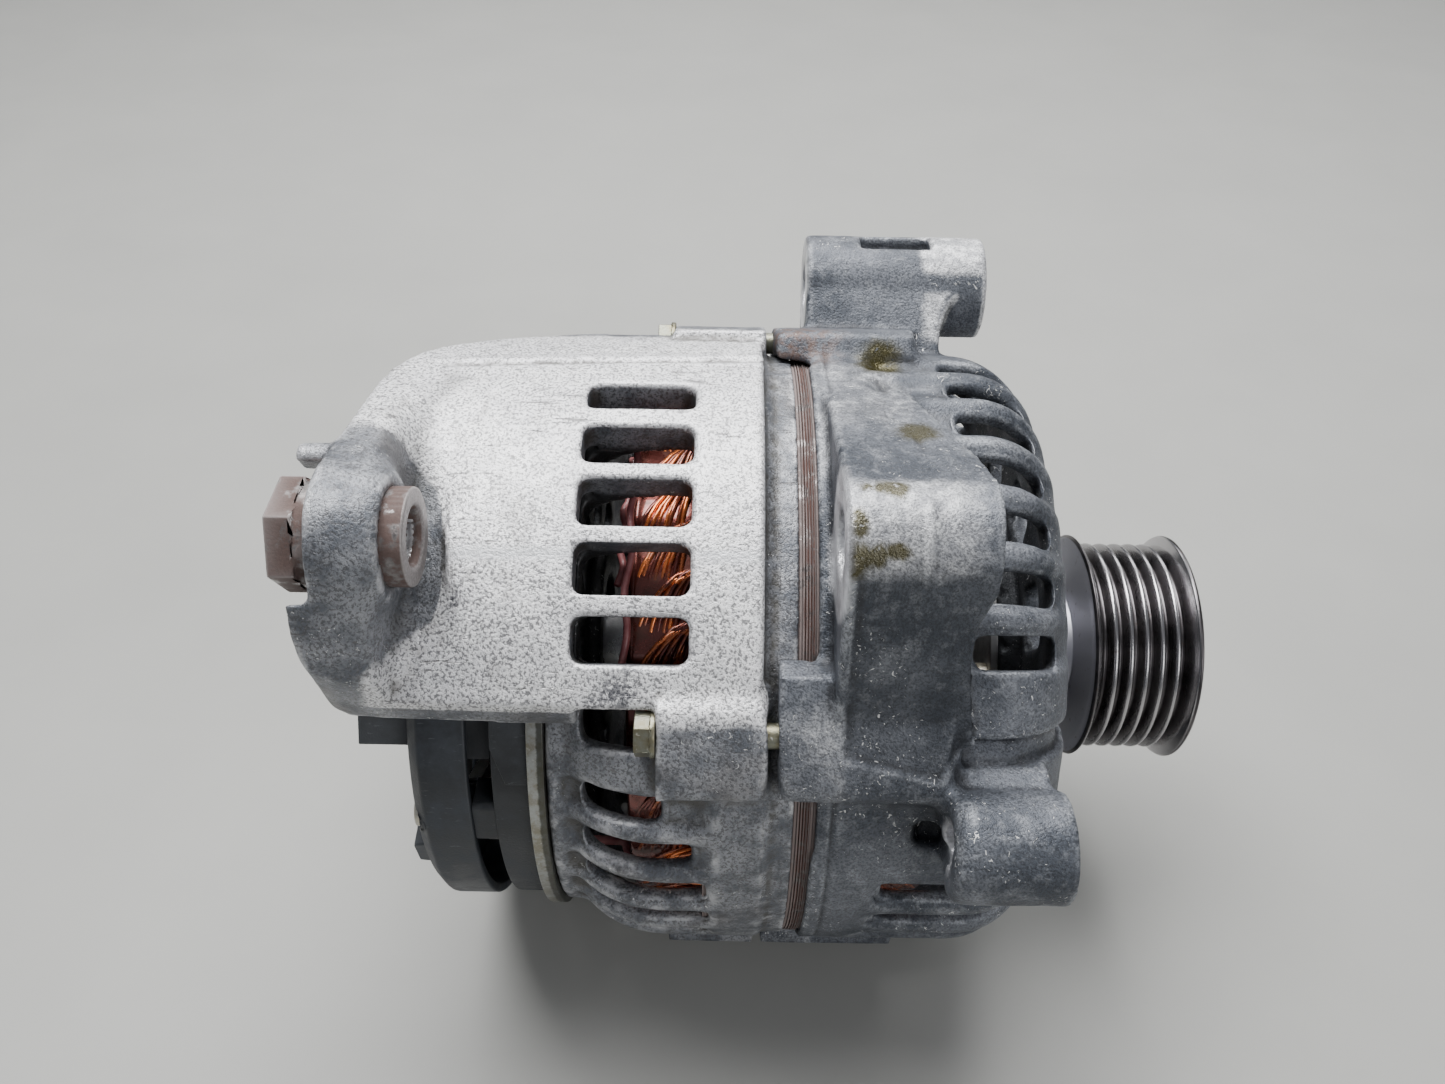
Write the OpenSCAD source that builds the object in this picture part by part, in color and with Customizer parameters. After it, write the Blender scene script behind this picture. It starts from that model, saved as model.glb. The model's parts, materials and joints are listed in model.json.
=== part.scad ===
// Car alternator: claw-pole generator with a six-rib pulley, through-bolted cast housings
// and a sliding threaded bushing in the rear pivot lug.
// The shaft lies along X with the pulley at +X. The origin is the middle of the shaft's
// front end face. Angles go round the shaft from +Y towards +Z, and stations are X values.

/* [Body] */
// Outer radius of both cast housings
body_r = 70.7; // [70.4:0.1:71]
// Radius of the core stack that shows between the housings
core_r = 68.9; // [68.6:0.1:69]
// Length of the core stack
core_length = 34; // [32:1:34]
// Wall thickness of the cast housings
wall = 4.5; // [4:0.1:4.8]
// Outer radius of the through-bolt pads
pad_r = 76.6; // [76:0.1:77.5]
// Angle of the first through bolt
bolt_angle = 148; // [146:0.5:149]
// Radius of the through-bolt circle
bolt_circle_r = 72.8; // [72.6:0.1:73]

/* [Mounting] */
// Distance from the shaft to the pivot bolt
pivot_reach = 84; // [83:0.5:85]
// Angle of the pivot bolt
pivot_angle = 121.5; // [120:0.5:123]
// Bore radius of the front pivot boss
pivot_bore_r = 6.25; // [6:0.05:6.5]
// Distance from the shaft to the upper lug bore
upper_reach = 88.5; // [87:0.5:91]
// Angle of the upper lug
upper_angle = 47.3; // [46:0.1:49]
// Bore radius of the upper lug
upper_bore_r = 5.25; // [4.5:0.05:5.5]
// Distance from the shaft to the lower lug bore
lower_reach = 80; // [79:0.5:81]
// Angle of the lower lug
lower_angle = 162; // [160:0.5:163]
// Bore radius of the lower lug
lower_bore_r = 4.25; // [3.5:0.05:4.5]
// Outer radius of the sliding bushing
bushing_r = 9.2; // [9:0.05:9.3]
// Thread core radius of the bushing
bushing_bore_r = 5.2; // [4.5:0.05:5.4]

/* [Pulley] */
// Outer radius of the pulley flanges
pulley_r = 27.4; // [27:0.1:28]
// Radius over the belt ridges
ridge_r = 25.2; // [25:0.1:25.6]
// Depth of a belt groove
groove_depth = 3; // [2.6:0.1:3.2]
// Number of belt grooves
groove_count = 6; // [5:1:6]
// Distance between belt grooves
groove_pitch = 3.56; // [3.5:0.01:3.58]

/* [Rotor] */
// Outer radius of the claw poles
rotor_r = 49.8; // [49:0.1:49.9]
// Number of claws on each pole
claw_count = 6; // [6:1:6]
// Number of blades on each fan
blade_count = 11; // [9:1:13]

/* [Rear end] */
// Outer radius of the rear cover and the rectifier carrier
cover_r = 62; // [61:0.5:62.5]
// Outer radius of the rectifier's zinc-plated ring plate
ring_plate_r = 64; // [63.5:0.1:64.5]
// Thickness of the ring plate
ring_plate_t = 3.4; // [3:0.1:3.6]

/* [Hidden] */
$fn = 96;

small = 0.1;                    // overshoot of a cut past a face
fit = 0.05;                     // running clearance

// Stations along the shaft, in X
pulley_face_x = 14.1;
pulley_back_x = -10.7;
nose_x = -18.5;                 // front end of the front housing's nose
face_x = -25;                   // front face of the front housing
front_ring_x = -77.7;           // edge of the front housing on the core stack
boss_rear_x = -74.8;            // machined face of the front pivot boss
boss_front_x = -47.4;
upper_lug_x = [-77, -33.3];
upper_lug_r = 12.5;
lower_lug_x = [-53.2, -30.8];
core_front_x = -65.2;
core_rear_x = core_front_x - core_length;
rear_lip_x = -80.7;             // edge of the rear housing on the core stack
rear_flange_x = -86.9;
rear_wall_x = -131;             // back of the rear housing
arm_end_x = -172.3;             // end of the long arm
pivot_lug_x = -168;             // rear face of the rear pivot lug
ring_plate_x = rear_wall_x - 0.05 - ring_plate_t;
carrier_x = -142.2;
cover_mouth_x = -147;
cover_back_x = -159.2;

shoulder_r = 50.7;              // radius at which both housings' shoulders start
front_shoulder_x = -43.5;
rear_shoulder_x = -108;
head_seat_x = -108.1;           // seat of the through bolts' heads

// Bearings: 6303 at the front, 6003 at the rear
front_bearing_x = -34.2;
front_bearing_w = 14;
front_bearing_ro = 23.5;
rear_bearing_x = -136.2;
rear_bearing_w = 10;
rear_bearing_ro = 17.5;
journal_r = 8.5;
sleeve_t = 1.1;

slots_per_side = 7;             // cooling slots between two through bolts
front_slot_pitch = 10.7;
rear_slot_pitch = 9.93;
arm_slot_pitch = 10.6;
arm_slot_angle = 112.9;
arm_slot_widths = [8.2, 9.4, 10.2, 10.2, 9];
bolt_step = 90;
bolt_count = 4;
pad_half_angle = 9.3;

holder_angle = 147.5;             // direction of the brush holder
stud_angle = 15;
stud_reach = 40;
post_angles = [54, 174, 294];
post_reach = 56.5;
diode_angles = [192, 222, 252];
diode_reach = 36;
lead_angles = [207, 237, 267];
lead_reach = 50;

// ---- helpers ----------------------------------------------------------------

// Local Z becomes the shaft axis X, and local X and Y become Y and Z
module on_shaft() { rotate([90, 0, 90]) children(); }

module disc(x0, x1, r) { translate([0, 0, x0]) cylinder(h = x1 - x0, r = r); }

module tube(x0, x1, ro, ri) {
    difference() {
        disc(x0, x1, ro);
        disc(x0 - 1, x1 + 1, ri);
    }
}

module polar(angle, reach) { rotate([0, 0, angle]) translate([reach, 0, 0]) children(); }

function arc(cx, cy, rx, ry, from, to, n) =
    [for (i = [0:n]) let (a = from + (to - from) * i / n) [cx + rx * cos(a), cy + ry * sin(a)]];

function round_rect(l, w, r, n = 3) = concat(
    arc(l - r, w / 2 - r, r, r, 0, 90, n), arc(r, w / 2 - r, r, r, 90, 180, n),
    arc(r, r - w / 2, r, r, 180, 270, n), arc(l - r, r - w / 2, r, r, 270, 360, n));

// A prism that runs outwards from the shaft, with its outline given as [station, offset]
module radial_prism(angle, points, r0, r1) {
    rotate([0, 0, angle]) translate([r0, 0, 0]) rotate([0, 90, 0])
        linear_extrude(r1 - r0) polygon([for (p = points) [-p[0], p[1]]]);
}

// A slot with round corners, cut outwards from the shaft
module radial_slot(angle, x0, x1, width, r0, r1, corner = 1.6) {
    radial_prism(angle, [for (p = round_rect(x1 - x0, width, corner)) [x0 + p[0], p[1]]], r0, r1);
}

// A slot with round corners, cut along the shaft
module axial_slot(angle, reach, length, width, x0, x1, corner = 2) {
    polar(angle, reach) translate([0, 0, x0])
        linear_extrude(x1 - x0) polygon(round_rect(length, width, corner));
}

// Outline of a lug: a round end at reach, with straight flanks down to a body of radius base
function lug_outline(reach, r, base, flank) = concat(
    [[0, -base * sin(flank) / 2]], [[base * cos(flank), -base * sin(flank)]],
    arc(reach, 0, r, r, -flank - 4, flank + 4, 14),
    [[base * cos(flank), base * sin(flank)]], [[0, base * sin(flank) / 2]]);

module lug(angle, reach, r, base, flank, x0, x1) {
    rotate([0, 0, angle]) translate([0, 0, x0])
        linear_extrude(x1 - x0) polygon(lug_outline(reach, r, base, flank));
}

// Through-bolt pad: a block with a rounded back that hugs the body, from one angle to another
module bolt_pad(angle, x0, x1, from = -pad_half_angle, to = pad_half_angle) {
    rotate([0, 0, angle]) translate([0, 0, x0]) linear_extrude(x1 - x0) polygon(concat(
        [[60, 16 * sign(from)]], arc(0, 0, pad_r, pad_r, from, to, 6), [[60, 16]]));
}

module through_bolt_positions() {
    for (i = [0:bolt_count - 1]) polar(bolt_angle + bolt_step * i, bolt_circle_r) children();
}

// Slot angles between each pair of through bolts
function slot_angles(pitch) = [
    for (q = [0:bolt_count - 1], k = [0:slots_per_side - 1])
        bolt_angle + bolt_step * (q + 0.5) + pitch * (k - (slots_per_side - 1) / 2)];

function within(angle, from, to) = let (a = (angle - from) % 360) (a < 0 ? a + 360 : a) < to - from;

// ---- front housing ----------------------------------------------------------

// Solid of the front housing's outer surface, sunk by a depth
module front_form(sink) {
    rotate_extrude() polygon(concat(
        [[0, front_ring_x], [body_r - sink, front_ring_x]],
        arc(shoulder_r, front_shoulder_x, body_r - shoulder_r - sink,
            face_x - front_shoulder_x - sink, 0, 90, 8),
        [[29, face_x - sink], [29, nose_x], [0, nose_x]]));
}

module front_cavity() {
    hub_r = 33;
    lip_r = 20;
    rotate_extrude() polygon(concat(
        [[0, front_ring_x - 12], [core_r + 1.2, front_ring_x - 12], [core_r + 1.2, front_ring_x],
         [core_r + fit, front_ring_x], [core_r + fit, core_front_x],
         [body_r - wall, core_front_x]],
        arc(shoulder_r, front_shoulder_x, body_r - shoulder_r - wall,
            face_x - front_shoulder_x - wall, 0, 90, 8),
        [[hub_r, face_x - wall], [hub_r, front_bearing_x],
         [front_bearing_ro, front_bearing_x],
         [front_bearing_ro, front_bearing_x + front_bearing_w],
         [lip_r, front_bearing_x + front_bearing_w], [lip_r, nose_x + 1], [0, nose_x + 1]]));
}

// The smooth cast web that joins the pivot boss to the ring, seen from outside
function web_outline() = [
    [boss_rear_x, -64], [-62, -64], [-58, -45], [-54, -32.4], [-48.4, -16], [boss_front_x, -10],
    [boss_front_x, 11], [-50, 16], [-49.8, 22], [-47.2, 35.5], [-47, 50], [boss_rear_x, 50]];

module front_housing() {
    slot_x1 = -30.5;
    slot_x0 = -62;
    cooling_slot_w = 6.6;
    groove_sink = 2;
    color([0.45, 0.48, 0.52]) on_shaft() difference() {
        union() {
            front_form(0);
            // Web and pivot boss
            intersection() {
                lug(pivot_angle, pivot_reach, 13, body_r - 0.6, 46.6, boss_rear_x, -46);
                radial_prism(pivot_angle, web_outline(), 20, 100);
            }
            // Upper lug: a long barrel on a web as wide as itself, whose front edge curves in
            polar(upper_angle, upper_reach) disc(upper_lug_x[0], upper_lug_x[1], upper_lug_r);
            intersection() {
                rotate([0, 0, upper_angle]) translate([0, 0, upper_lug_x[0]])
                    linear_extrude(42) polygon(concat([[60, -14.5]],
                        arc(upper_reach, 0, upper_lug_r - 0.2, upper_lug_r - 0.2, -70, 70, 10),
                        [[60, 14.5]]));
                rotate([0, 0, upper_angle]) translate([0, 20, 0]) rotate([90, 0, 0])
                    linear_extrude(40) polygon([[55, -80], [55, -46.3], [76, -44.6], [81, -43],
                        [86, -39.6], [91, -36.5], [104, -35.6], [104, -80]]);
            }
            // Lower lug on the shoulder
            polar(lower_angle, lower_reach) disc(lower_lug_x[0], lower_lug_x[1], 10.5);
            lug(lower_angle, lower_reach, 10.4, 56, 17, lower_lug_x[0], lower_lug_x[1] - 1.8);
            // Through-bolt pads reach back over the core stack
            for (i = [0:bolt_count - 1])
                bolt_pad(bolt_angle + bolt_step * i, -85.1, -52);
        }
        front_cavity();
        // Cooling slots in the shoulder, kept off the lugs and the first pad
        for (a = slot_angles(front_slot_pitch))
            if (!within(a, 139, 176))
                radial_slot(a, within(a, 68, 139) ? -47.5 : slot_x0, slot_x1, cooling_slot_w, 38, 78, 1.4);
        // Long shallow groove between the two thick ribs by the first pad
        difference() {
            radial_slot(bolt_angle + 3, -50, -25, 5.5, 44, 90, 1.4);
            front_form(groove_sink);
        }
        // Air inlets in the front face
        for (i = [0:9]) axial_slot(18 + 36 * i, 36, 11, 13, -40, -20);
        // Small cast pocket beside the lower lug
        radial_slot(166, -57.1, -51.6, 5.6, 67.6, 80, 0.8);
        // Pocket in the upper lug's near side
        polar(upper_angle, upper_reach) rotate([0, 0, 36])
            translate([8.2, -3.8, -63.5]) cube([8, 7.6, 16.8]);
        // Bores
        polar(pivot_angle, pivot_reach) disc(-80, -40, pivot_bore_r);
        polar(upper_angle, upper_reach) disc(-80, -25, upper_bore_r);
        polar(lower_angle, lower_reach) disc(-60, -25, lower_bore_r);
        through_bolt_positions() disc(-90, -61, 2.55);
        for (i = [0:2]) polar(30 + 120 * i, 28.2) disc(front_bearing_x - 1, -27, 1.75);
    }
}

// ---- rear housing -----------------------------------------------------------

module rear_form() {
    rotate_extrude() polygon(concat(
        [[0, rear_lip_x], [body_r - 1, rear_lip_x], [body_r - 1, rear_flange_x],
         [body_r, rear_flange_x]],
        [for (i = [0:6]) let (a = i * 8.6)
            [shoulder_r + (body_r - shoulder_r) * cos(a), rear_shoulder_x - 23 * sin(a)]],
        [[62.9, rear_wall_x], [23.5, rear_wall_x], [23.5, rear_bearing_x - 0.8],
         [0, rear_bearing_x - 0.8]]));
}

module rear_cavity() {
    rotate_extrude() polygon(concat(
        [[0, rear_lip_x + 1], [core_r + fit, rear_lip_x + 1], [core_r + fit, core_rear_x],
         [body_r - wall, core_rear_x]],
        [for (i = [0:5]) let (a = i * 15)
            [shoulder_r + (body_r - shoulder_r - wall) * cos(a), rear_shoulder_x - 18.5 * sin(a)]],
        [[50, -127], [23.5, -127], [23.5, -124], [15, -124],
         [15, rear_bearing_x + rear_bearing_w],
         [rear_bearing_ro + sleeve_t, rear_bearing_x + rear_bearing_w],
         [rear_bearing_ro + sleeve_t, rear_bearing_x - 1], [0, rear_bearing_x - 1]]));
}

// Outline of the long arm that carries the rear pivot lug, as [station, offset]
function arm_outline() = [
    [-88, -62], [-88, 44], [-148, 43.6], [-161, 43.4], [-167, 43], [-170.4, 42], [-171.8, 40.4],
    [arm_end_x, 37.8], [arm_end_x, 22], [pivot_lug_x, 20], [pivot_lug_x, -24], [-167, -30],
    [-163, -36.5], [-158, -41], [-148, -46], [-132, -52.5], [-112, -60]];

module rear_housing() {
    arm_angle = 108;
    arm_ro = 74.5;
    arm_ri = 67.4;
    window_ends = [-107.5, -101.5, -99, -98.5, -99, -101.5, -107.5];
    color([0.74, 0.74, 0.75]) on_shaft() difference() {
        union() {
            rear_form();
            difference() {
                intersection() {
                    union() {
                        disc(-176, -88, arm_ro);
                        lug(pivot_angle, pivot_reach, 14, arm_ro - 0.8, 43.5, arm_end_x, -158);
                        polar(pivot_angle, pivot_reach) disc(-160, -155.8, 12.6);
                    }
                    radial_prism(arm_angle, arm_outline(), 10, 110);
                }
                disc(-180, -116, arm_ri);
                disc(-117, -80, body_r - 3);
            }
            // Round stub on the pivot lug's rear face
            polar(111, 84) disc(-175.4, -165, 3);
            // The first pad's upper part is inside the arm
            bolt_pad(bolt_angle, head_seat_x, rear_flange_x, from = -4.5);
            for (i = [1:bolt_count - 1])
                bolt_pad(bolt_angle + bolt_step * i, head_seat_x, rear_flange_x);
        }
        rear_cavity();
        // Crescent-shaped scoop in the arm, in front of the pivot lug
        difference() {
            radial_prism(pivot_angle, [[-157.9, -24], [-159.4, -30], [-156.8, -36], [-152.6, -40],
                [-151.4, -38], [-154.8, -27], [-151.4, -17], [-149.6, -8], [-148.4, 6],
                [-149, 13], [-152, 18.5], [-155, 20], [-157.9, 17]], 71.2, 110);
            polar(pivot_angle, pivot_reach) disc(-161, -155.8, 12.6);
        }
        // Ledge under the bushing's hexagon
        rotate([0, 0, pivot_angle]) translate([70.5, -14, -180]) cube([40, 28, 180 + pivot_lug_x]);
        // Slots in the arm, above the end winding
        for (k = [-2:2])
            radial_slot(arm_slot_angle + arm_slot_pitch * k, -124.5, -102.2,
                arm_slot_widths[k + 2], 40, 90, 1.8);
        // Windows between the fins of the shoulder
        for (q = [0:bolt_count - 1], k = [0:slots_per_side - 1])
            let (a = bolt_angle + bolt_step * (q + 0.5) + rear_slot_pitch * (k - 3))
                if (!within(a, 66, 145))
                    radial_slot(a, -123.4, window_ends[k], 6.9, 40, 80, 1.6);
        // Pockets for the through-bolt heads
        for (i = [0:bolt_count - 1])
            radial_slot(bolt_angle + bolt_step * i, -123.4, head_seat_x, 9.6, 56, 90, 0.2);
        // Air inlets in the rear wall, between the hub's spokes
        for (i = [0:7]) axial_slot(9.5 + 45 * i, 28, 17, 15, -133, -122, 3);
        // Passages for the phase leads
        for (a = lead_angles) polar(a, lead_reach) disc(-133, -122, 2.2);
        // Bores
        polar(pivot_angle, pivot_reach) disc(-180, -150, bushing_r + fit);
        through_bolt_positions() disc(-112, -80, 2.75);
        for (a = post_angles) polar(a, post_reach) disc(-133, -123, 2.05);
    }
}

// ---- stator -----------------------------------------------------------------

core_bore_r = 50.2;
core_slots = 36;
slot_w = 4.2;
slot_top_r = 63.4;
liner_t = 0.35;

module stator_core() {
    color([0.42, 0.27, 0.2]) on_shaft() difference() {
        tube(core_rear_x, core_front_x, core_r, core_bore_r);
        for (i = [0:core_slots - 1]) rotate([0, 0, 360 / core_slots * i]) {
            translate([51.8, -slot_w / 2, core_rear_x - 1])
                cube([slot_top_r - 51.8, slot_w, core_length + 2]);
            translate([48, -1.2, core_rear_x - 1]) cube([5, 2.4, core_length + 2]);
        }
    }
}

// Profile of one end winding, between the stations of its inner and outer ends
function end_winding(x0, x1) = concat(
    arc(60.5, x1 - 3, 3.5, 3, 0, 90, 4), arc(56, x1 - 3, 3.6, 3, 90, 180, 4),
    arc(56, x0 + 3, 3.6, 3, 180, 270, 4), arc(60.5, x0 + 3, 3.5, 3, 270, 360, 4));

module stator_winding() {
    bar_w = slot_w - 2 * liner_t - 0.3;
    color([0.72, 0.35, 0.18]) on_shaft() {
        union() {
            rotate_extrude() polygon(end_winding(-115.2, core_rear_x - 0.6));
            rotate_extrude() polygon(end_winding(core_front_x + 0.6, -49.4));
            for (i = [0:core_slots - 1]) rotate([0, 0, 360 / core_slots * i])
                translate([53, -bar_w / 2, core_rear_x - 2]) cube([9, bar_w, core_length + 4]);
        }
    }
}

module slot_liners() {
    liner_w = slot_w - 0.1;
    color([0.85, 0.8, 0.62]) on_shaft()
        for (i = [0:core_slots - 1]) rotate([0, 0, 360 / core_slots * i]) difference() {
            translate([52, -liner_w / 2, core_rear_x - 0.5])
                cube([slot_top_r - 52.1, liner_w, core_length + 1]);
            translate([51, liner_t - liner_w / 2, core_rear_x - 2])
                cube([slot_top_r - 51.1 - liner_t, liner_w - 2 * liner_t, core_length + 4]);
        }
}

// Three leads from the end winding through the rear wall to the diodes' terminals
module phase_leads() {
    lead_r = 1.1;
    bend_x = -118;
    end_x = -143.6;
    color([0.5, 0.16, 0.12]) on_shaft() for (a = lead_angles) rotate([0, 0, a]) {
        translate([lead_reach, 0, end_x]) cylinder(h = bend_x - end_x, r = lead_r);
        translate([lead_reach, 0, bend_x]) sphere(r = lead_r);
        translate([lead_reach, 0, bend_x]) rotate([0, 66, 0]) cylinder(h = 5, r = lead_r);
        translate([lead_reach, 0, end_x]) sphere(r = lead_r);
        translate([lead_reach, 0, end_x]) rotate([0, -90, 0]) cylinder(h = 8, r = lead_r);
    }
}

module through_bolts() {
    color([0.78, 0.72, 0.5]) on_shaft() through_bolt_positions() union() {
        disc(head_seat_x - 0.05, -62, 2.5);
        disc(head_seat_x - 1.1, head_seat_x - 0.05, 4.6);
        translate([0, 0, head_seat_x - 4.1]) rotate([0, 0, 30]) cylinder(h = 3.1, r = 4.62, $fn = 6);
    }
}

module mount_bushing() {
    hex_r = 10.97;
    bushing_front_x = -151.9;
    color([0.36, 0.27, 0.23]) on_shaft() polar(pivot_angle, pivot_reach) difference() {
        union() {
            disc(pivot_lug_x - 3.1, bushing_front_x, bushing_r);
            disc(pivot_lug_x - 3.1, pivot_lug_x - 0.1, 9.85);
            translate([0, 0, -175.9]) cylinder(h = 4.9, r = hex_r, $fn = 6);
        }
        disc(-180, -150, bushing_bore_r);
        translate([0, 0, bushing_front_x - 1]) cylinder(h = 1.2, r1 = 5.1, r2 = 6.3);
    }
}

// ---- rotor ------------------------------------------------------------------

pole_rear_x = -108.2;
pole_front_x = -56.2;
pole_mid_x = (pole_rear_x + pole_front_x) / 2;
pole_t = 13;
pole_core_r = 24;
shaft_core_r = 12;
socket_r = 5;
socket_depth = 3;

module rotor_shaft() {
    color([0.6, 0.6, 0.62]) on_shaft() difference() {
        union() {
            disc(-155, -138, 5);
            disc(-138, -126.2, journal_r);
            disc(-126.2, pole_rear_x, 10);
            disc(pole_rear_x, pole_front_x, shaft_core_r);
            disc(pole_front_x, front_bearing_x, 11);
            disc(front_bearing_x, -10, journal_r);
            disc(-10, 0, 8);
        }
        disc(-socket_depth, 1, socket_r);
        translate([0, 0, -12]) cylinder(h = 12 - socket_depth + small, r = 4.62, $fn = 6);
    }
}

// One pole: a thick plate with a half core and claws that reach over the coil.
// It is drawn with its plate at z = 0 and its claws towards +z.
module claw_pole() {
    reach = 48.2;
    root = pole_t;
    half = (pole_front_x - pole_rear_x) / 2;
    difference() {
        intersection() {
            rotate_extrude() polygon([
                [0, 0], [46, 0], [rotor_r, 3.6], [rotor_r, reach], [47.2, reach], [40, root],
                [pole_core_r, root], [pole_core_r, half - fit], [0, half - fit]]);
            union() {
                disc(-1, half + 1, 37);
                for (i = [0:claw_count - 1])
                    radial_prism(360 / claw_count * i,
                        [[-1, -13], [root, -12.6], [reach + 1, -6.3], [reach + 1, 6.3],
                         [root, 12.6], [-1, 13]], 20, 56);
            }
        }
        disc(-2, half + 2, shaft_core_r + 0.02);
    }
}

module claw_pole_rear() {
    color([0.4, 0.38, 0.37]) on_shaft() translate([0, 0, pole_rear_x]) claw_pole();
}

module claw_pole_front() {
    color([0.42, 0.4, 0.39]) on_shaft() translate([0, 0, pole_front_x]) mirror([0, 0, 1])
        rotate([0, 0, 180 / claw_count]) claw_pole();
}

module coil_bobbin() {
    color([0.88, 0.86, 0.78]) on_shaft() union() {
        tube(-95, -69.4, pole_core_r + 2, pole_core_r + 0.15);
        tube(-95, -93.4, 38, pole_core_r + 0.15);
        tube(-71, -69.4, 38, pole_core_r + 0.15);
    }
}

module field_coil() {
    color([0.66, 0.3, 0.16]) on_shaft() tube(-93.3, -71.1, 37.6, pole_core_r + 2.1);
}

// Stamped fan: a thin disc with bent-up blades that sweep back
module fan(plate_x, tip_x, count, turn) {
    plate_t = 1.2;
    blade_t = 1.2;
    base_x = min(plate_x, tip_x);
    height = abs(tip_x - plate_x);
    union() {
        difference() {
            disc(min(plate_x, plate_x + sign(tip_x - plate_x) * plate_t),
                max(plate_x, plate_x + sign(tip_x - plate_x) * plate_t), 44.5);
            disc(-200, 0, 15);
        }
        for (i = [0:count - 1]) rotate([0, 0, 360 / count * i]) translate([31, 0, base_x])
            rotate([0, 0, turn]) cube([15, blade_t, height]);
    }
}

module rear_fan() {
    color([0.5, 0.5, 0.52]) on_shaft() fan(pole_rear_x - 0.02, -117.5, blade_count, 38);
}

module front_fan() {
    color([0.5, 0.5, 0.52]) on_shaft() fan(pole_front_x + 0.02, -47, blade_count, -38);
}

module pulley_spacer() {
    color([0.55, 0.55, 0.56]) on_shaft()
        tube(front_bearing_x + front_bearing_w + 0.02, -16.05, 12.5, journal_r + 0.02);
}

module pulley() {
    first_ridge_x = -8.9;
    recess_r = 17.5;
    hub_x = -16;
    web_x = -9.05;
    land = 0.45;
    color([0.22, 0.21, 0.22]) on_shaft() rotate_extrude() polygon(concat(
        [[journal_r + 0.02, hub_x], [13, hub_x], [13, pulley_back_x - 1], [24, pulley_back_x],
         [pulley_r - 0.8, pulley_back_x], [pulley_r, pulley_back_x + 0.6],
         [pulley_r - 0.4, first_ridge_x - 0.6]],
        [for (i = [0:groove_count - 1], p = [[ridge_r, land], [ridge_r - groove_depth, 1.3],
                [ridge_r - groove_depth, groove_pitch - 1.3], [ridge_r, groove_pitch - land]])
            [p[0], first_ridge_x + i * groove_pitch + p[1]]],
        [[pulley_r - 0.3, first_ridge_x + groove_count * groove_pitch + 0.2],
         [pulley_r, first_ridge_x + groove_count * groove_pitch + 0.7],
         [pulley_r, pulley_face_x - 0.5], [pulley_r - 0.6, pulley_face_x],
         [20, pulley_face_x], [recess_r, pulley_face_x - 3], [recess_r, web_x],
         [journal_r + 0.02, web_x]]));
}

module pulley_nut() {
    color([0.5, 0.48, 0.42]) on_shaft() difference() {
        union() {
            disc(-9, -7.4, 14);
            translate([0, 0, -7.4]) cylinder(h = 6.9, r = 13.6, $fn = 6);
        }
        disc(-10, 1, 8.02);
    }
}

ring_inner_x = [-145, -139.5];
ring_outer_x = [-153.5, -148];
ring_r = 7.7;

module slip_ring_hub() {
    color([0.15, 0.14, 0.13]) on_shaft() union() {
        tube(-154.8, -138.2, 6.4, 5.02);
        tube(-154.8, -153.6, 7.4, 5.02);
        tube(-147.9, -145.1, 7.4, 5.02);
        tube(-139.4, -138.2, 7.4, 5.02);
    }
}

module slip_rings() {
    color([0.75, 0.45, 0.25]) on_shaft() for (x = [ring_inner_x, ring_outer_x])
        tube(x[0], x[1], ring_r, 6.42);
}

// ---- bearings ---------------------------------------------------------------

// Deep-groove ball bearing, given by its back face, width and radii
module bearing_ring(x, w, ro, ri, race, ball) {
    difference() {
        tube(x, x + w, ro, ri);
        translate([0, 0, x + w / 2]) rotate_extrude() translate([race, 0]) circle(r = ball + fit);
    }
}

module bearing_balls(x, w, race, ball, count) {
    for (i = [0:count - 1]) polar(360 / count * i, race) translate([0, 0, x + w / 2]) sphere(r = ball);
}

module bearing_cage(x, w, race, ball, count, half_t) {
    difference() {
        tube(x + w / 2 - ball - 0.6, x + w / 2 + ball + 0.6, race + half_t, race - half_t);
        for (i = [0:count - 1]) polar(360 / count * i, race - ball)
            translate([0, 0, x + w / 2]) rotate([0, 90, 0]) cylinder(h = 2 * ball, r = ball + fit);
    }
}

front_race = 16;
front_ball = 4.7;
front_balls = 7;
rear_race = 13;
rear_ball = 2.35;
rear_balls = 10;

module front_bearing_outer() {
    color("silver") on_shaft() bearing_ring(front_bearing_x, front_bearing_w,
        front_bearing_ro - 0.02, 19, front_race, front_ball);
}

module front_bearing_inner() {
    color("silver") on_shaft() bearing_ring(front_bearing_x, front_bearing_w,
        13, journal_r + 0.02, front_race, front_ball);
}

module front_bearing_balls() {
    color("lightgray") on_shaft()
        bearing_balls(front_bearing_x, front_bearing_w, front_race, front_ball, front_balls);
}

module front_bearing_cage() {
    color([0.7, 0.62, 0.4]) on_shaft()
        bearing_cage(front_bearing_x, front_bearing_w, front_race, front_ball, front_balls, 1.3);
}

module front_bearing_seals() {
    color([0.12, 0.12, 0.12]) on_shaft() union() {
        tube(front_bearing_x + 0.1, front_bearing_x + 1, 18.95, 13.1);
        tube(front_bearing_x + front_bearing_w - 1, front_bearing_x + front_bearing_w - 0.1,
            18.95, 13.1);
    }
}

module rear_bearing_outer() {
    color("silver") on_shaft() bearing_ring(rear_bearing_x, rear_bearing_w,
        rear_bearing_ro - 0.02, 14.7, rear_race, rear_ball);
}

module rear_bearing_inner() {
    color("silver") on_shaft() bearing_ring(rear_bearing_x, rear_bearing_w,
        11.3, journal_r + 0.02, rear_race, rear_ball);
}

module rear_bearing_balls() {
    color("lightgray") on_shaft()
        bearing_balls(rear_bearing_x, rear_bearing_w, rear_race, rear_ball, rear_balls);
}

module rear_bearing_cage() {
    color([0.7, 0.62, 0.4]) on_shaft()
        bearing_cage(rear_bearing_x, rear_bearing_w, rear_race, rear_ball, rear_balls, 0.8);
}

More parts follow.
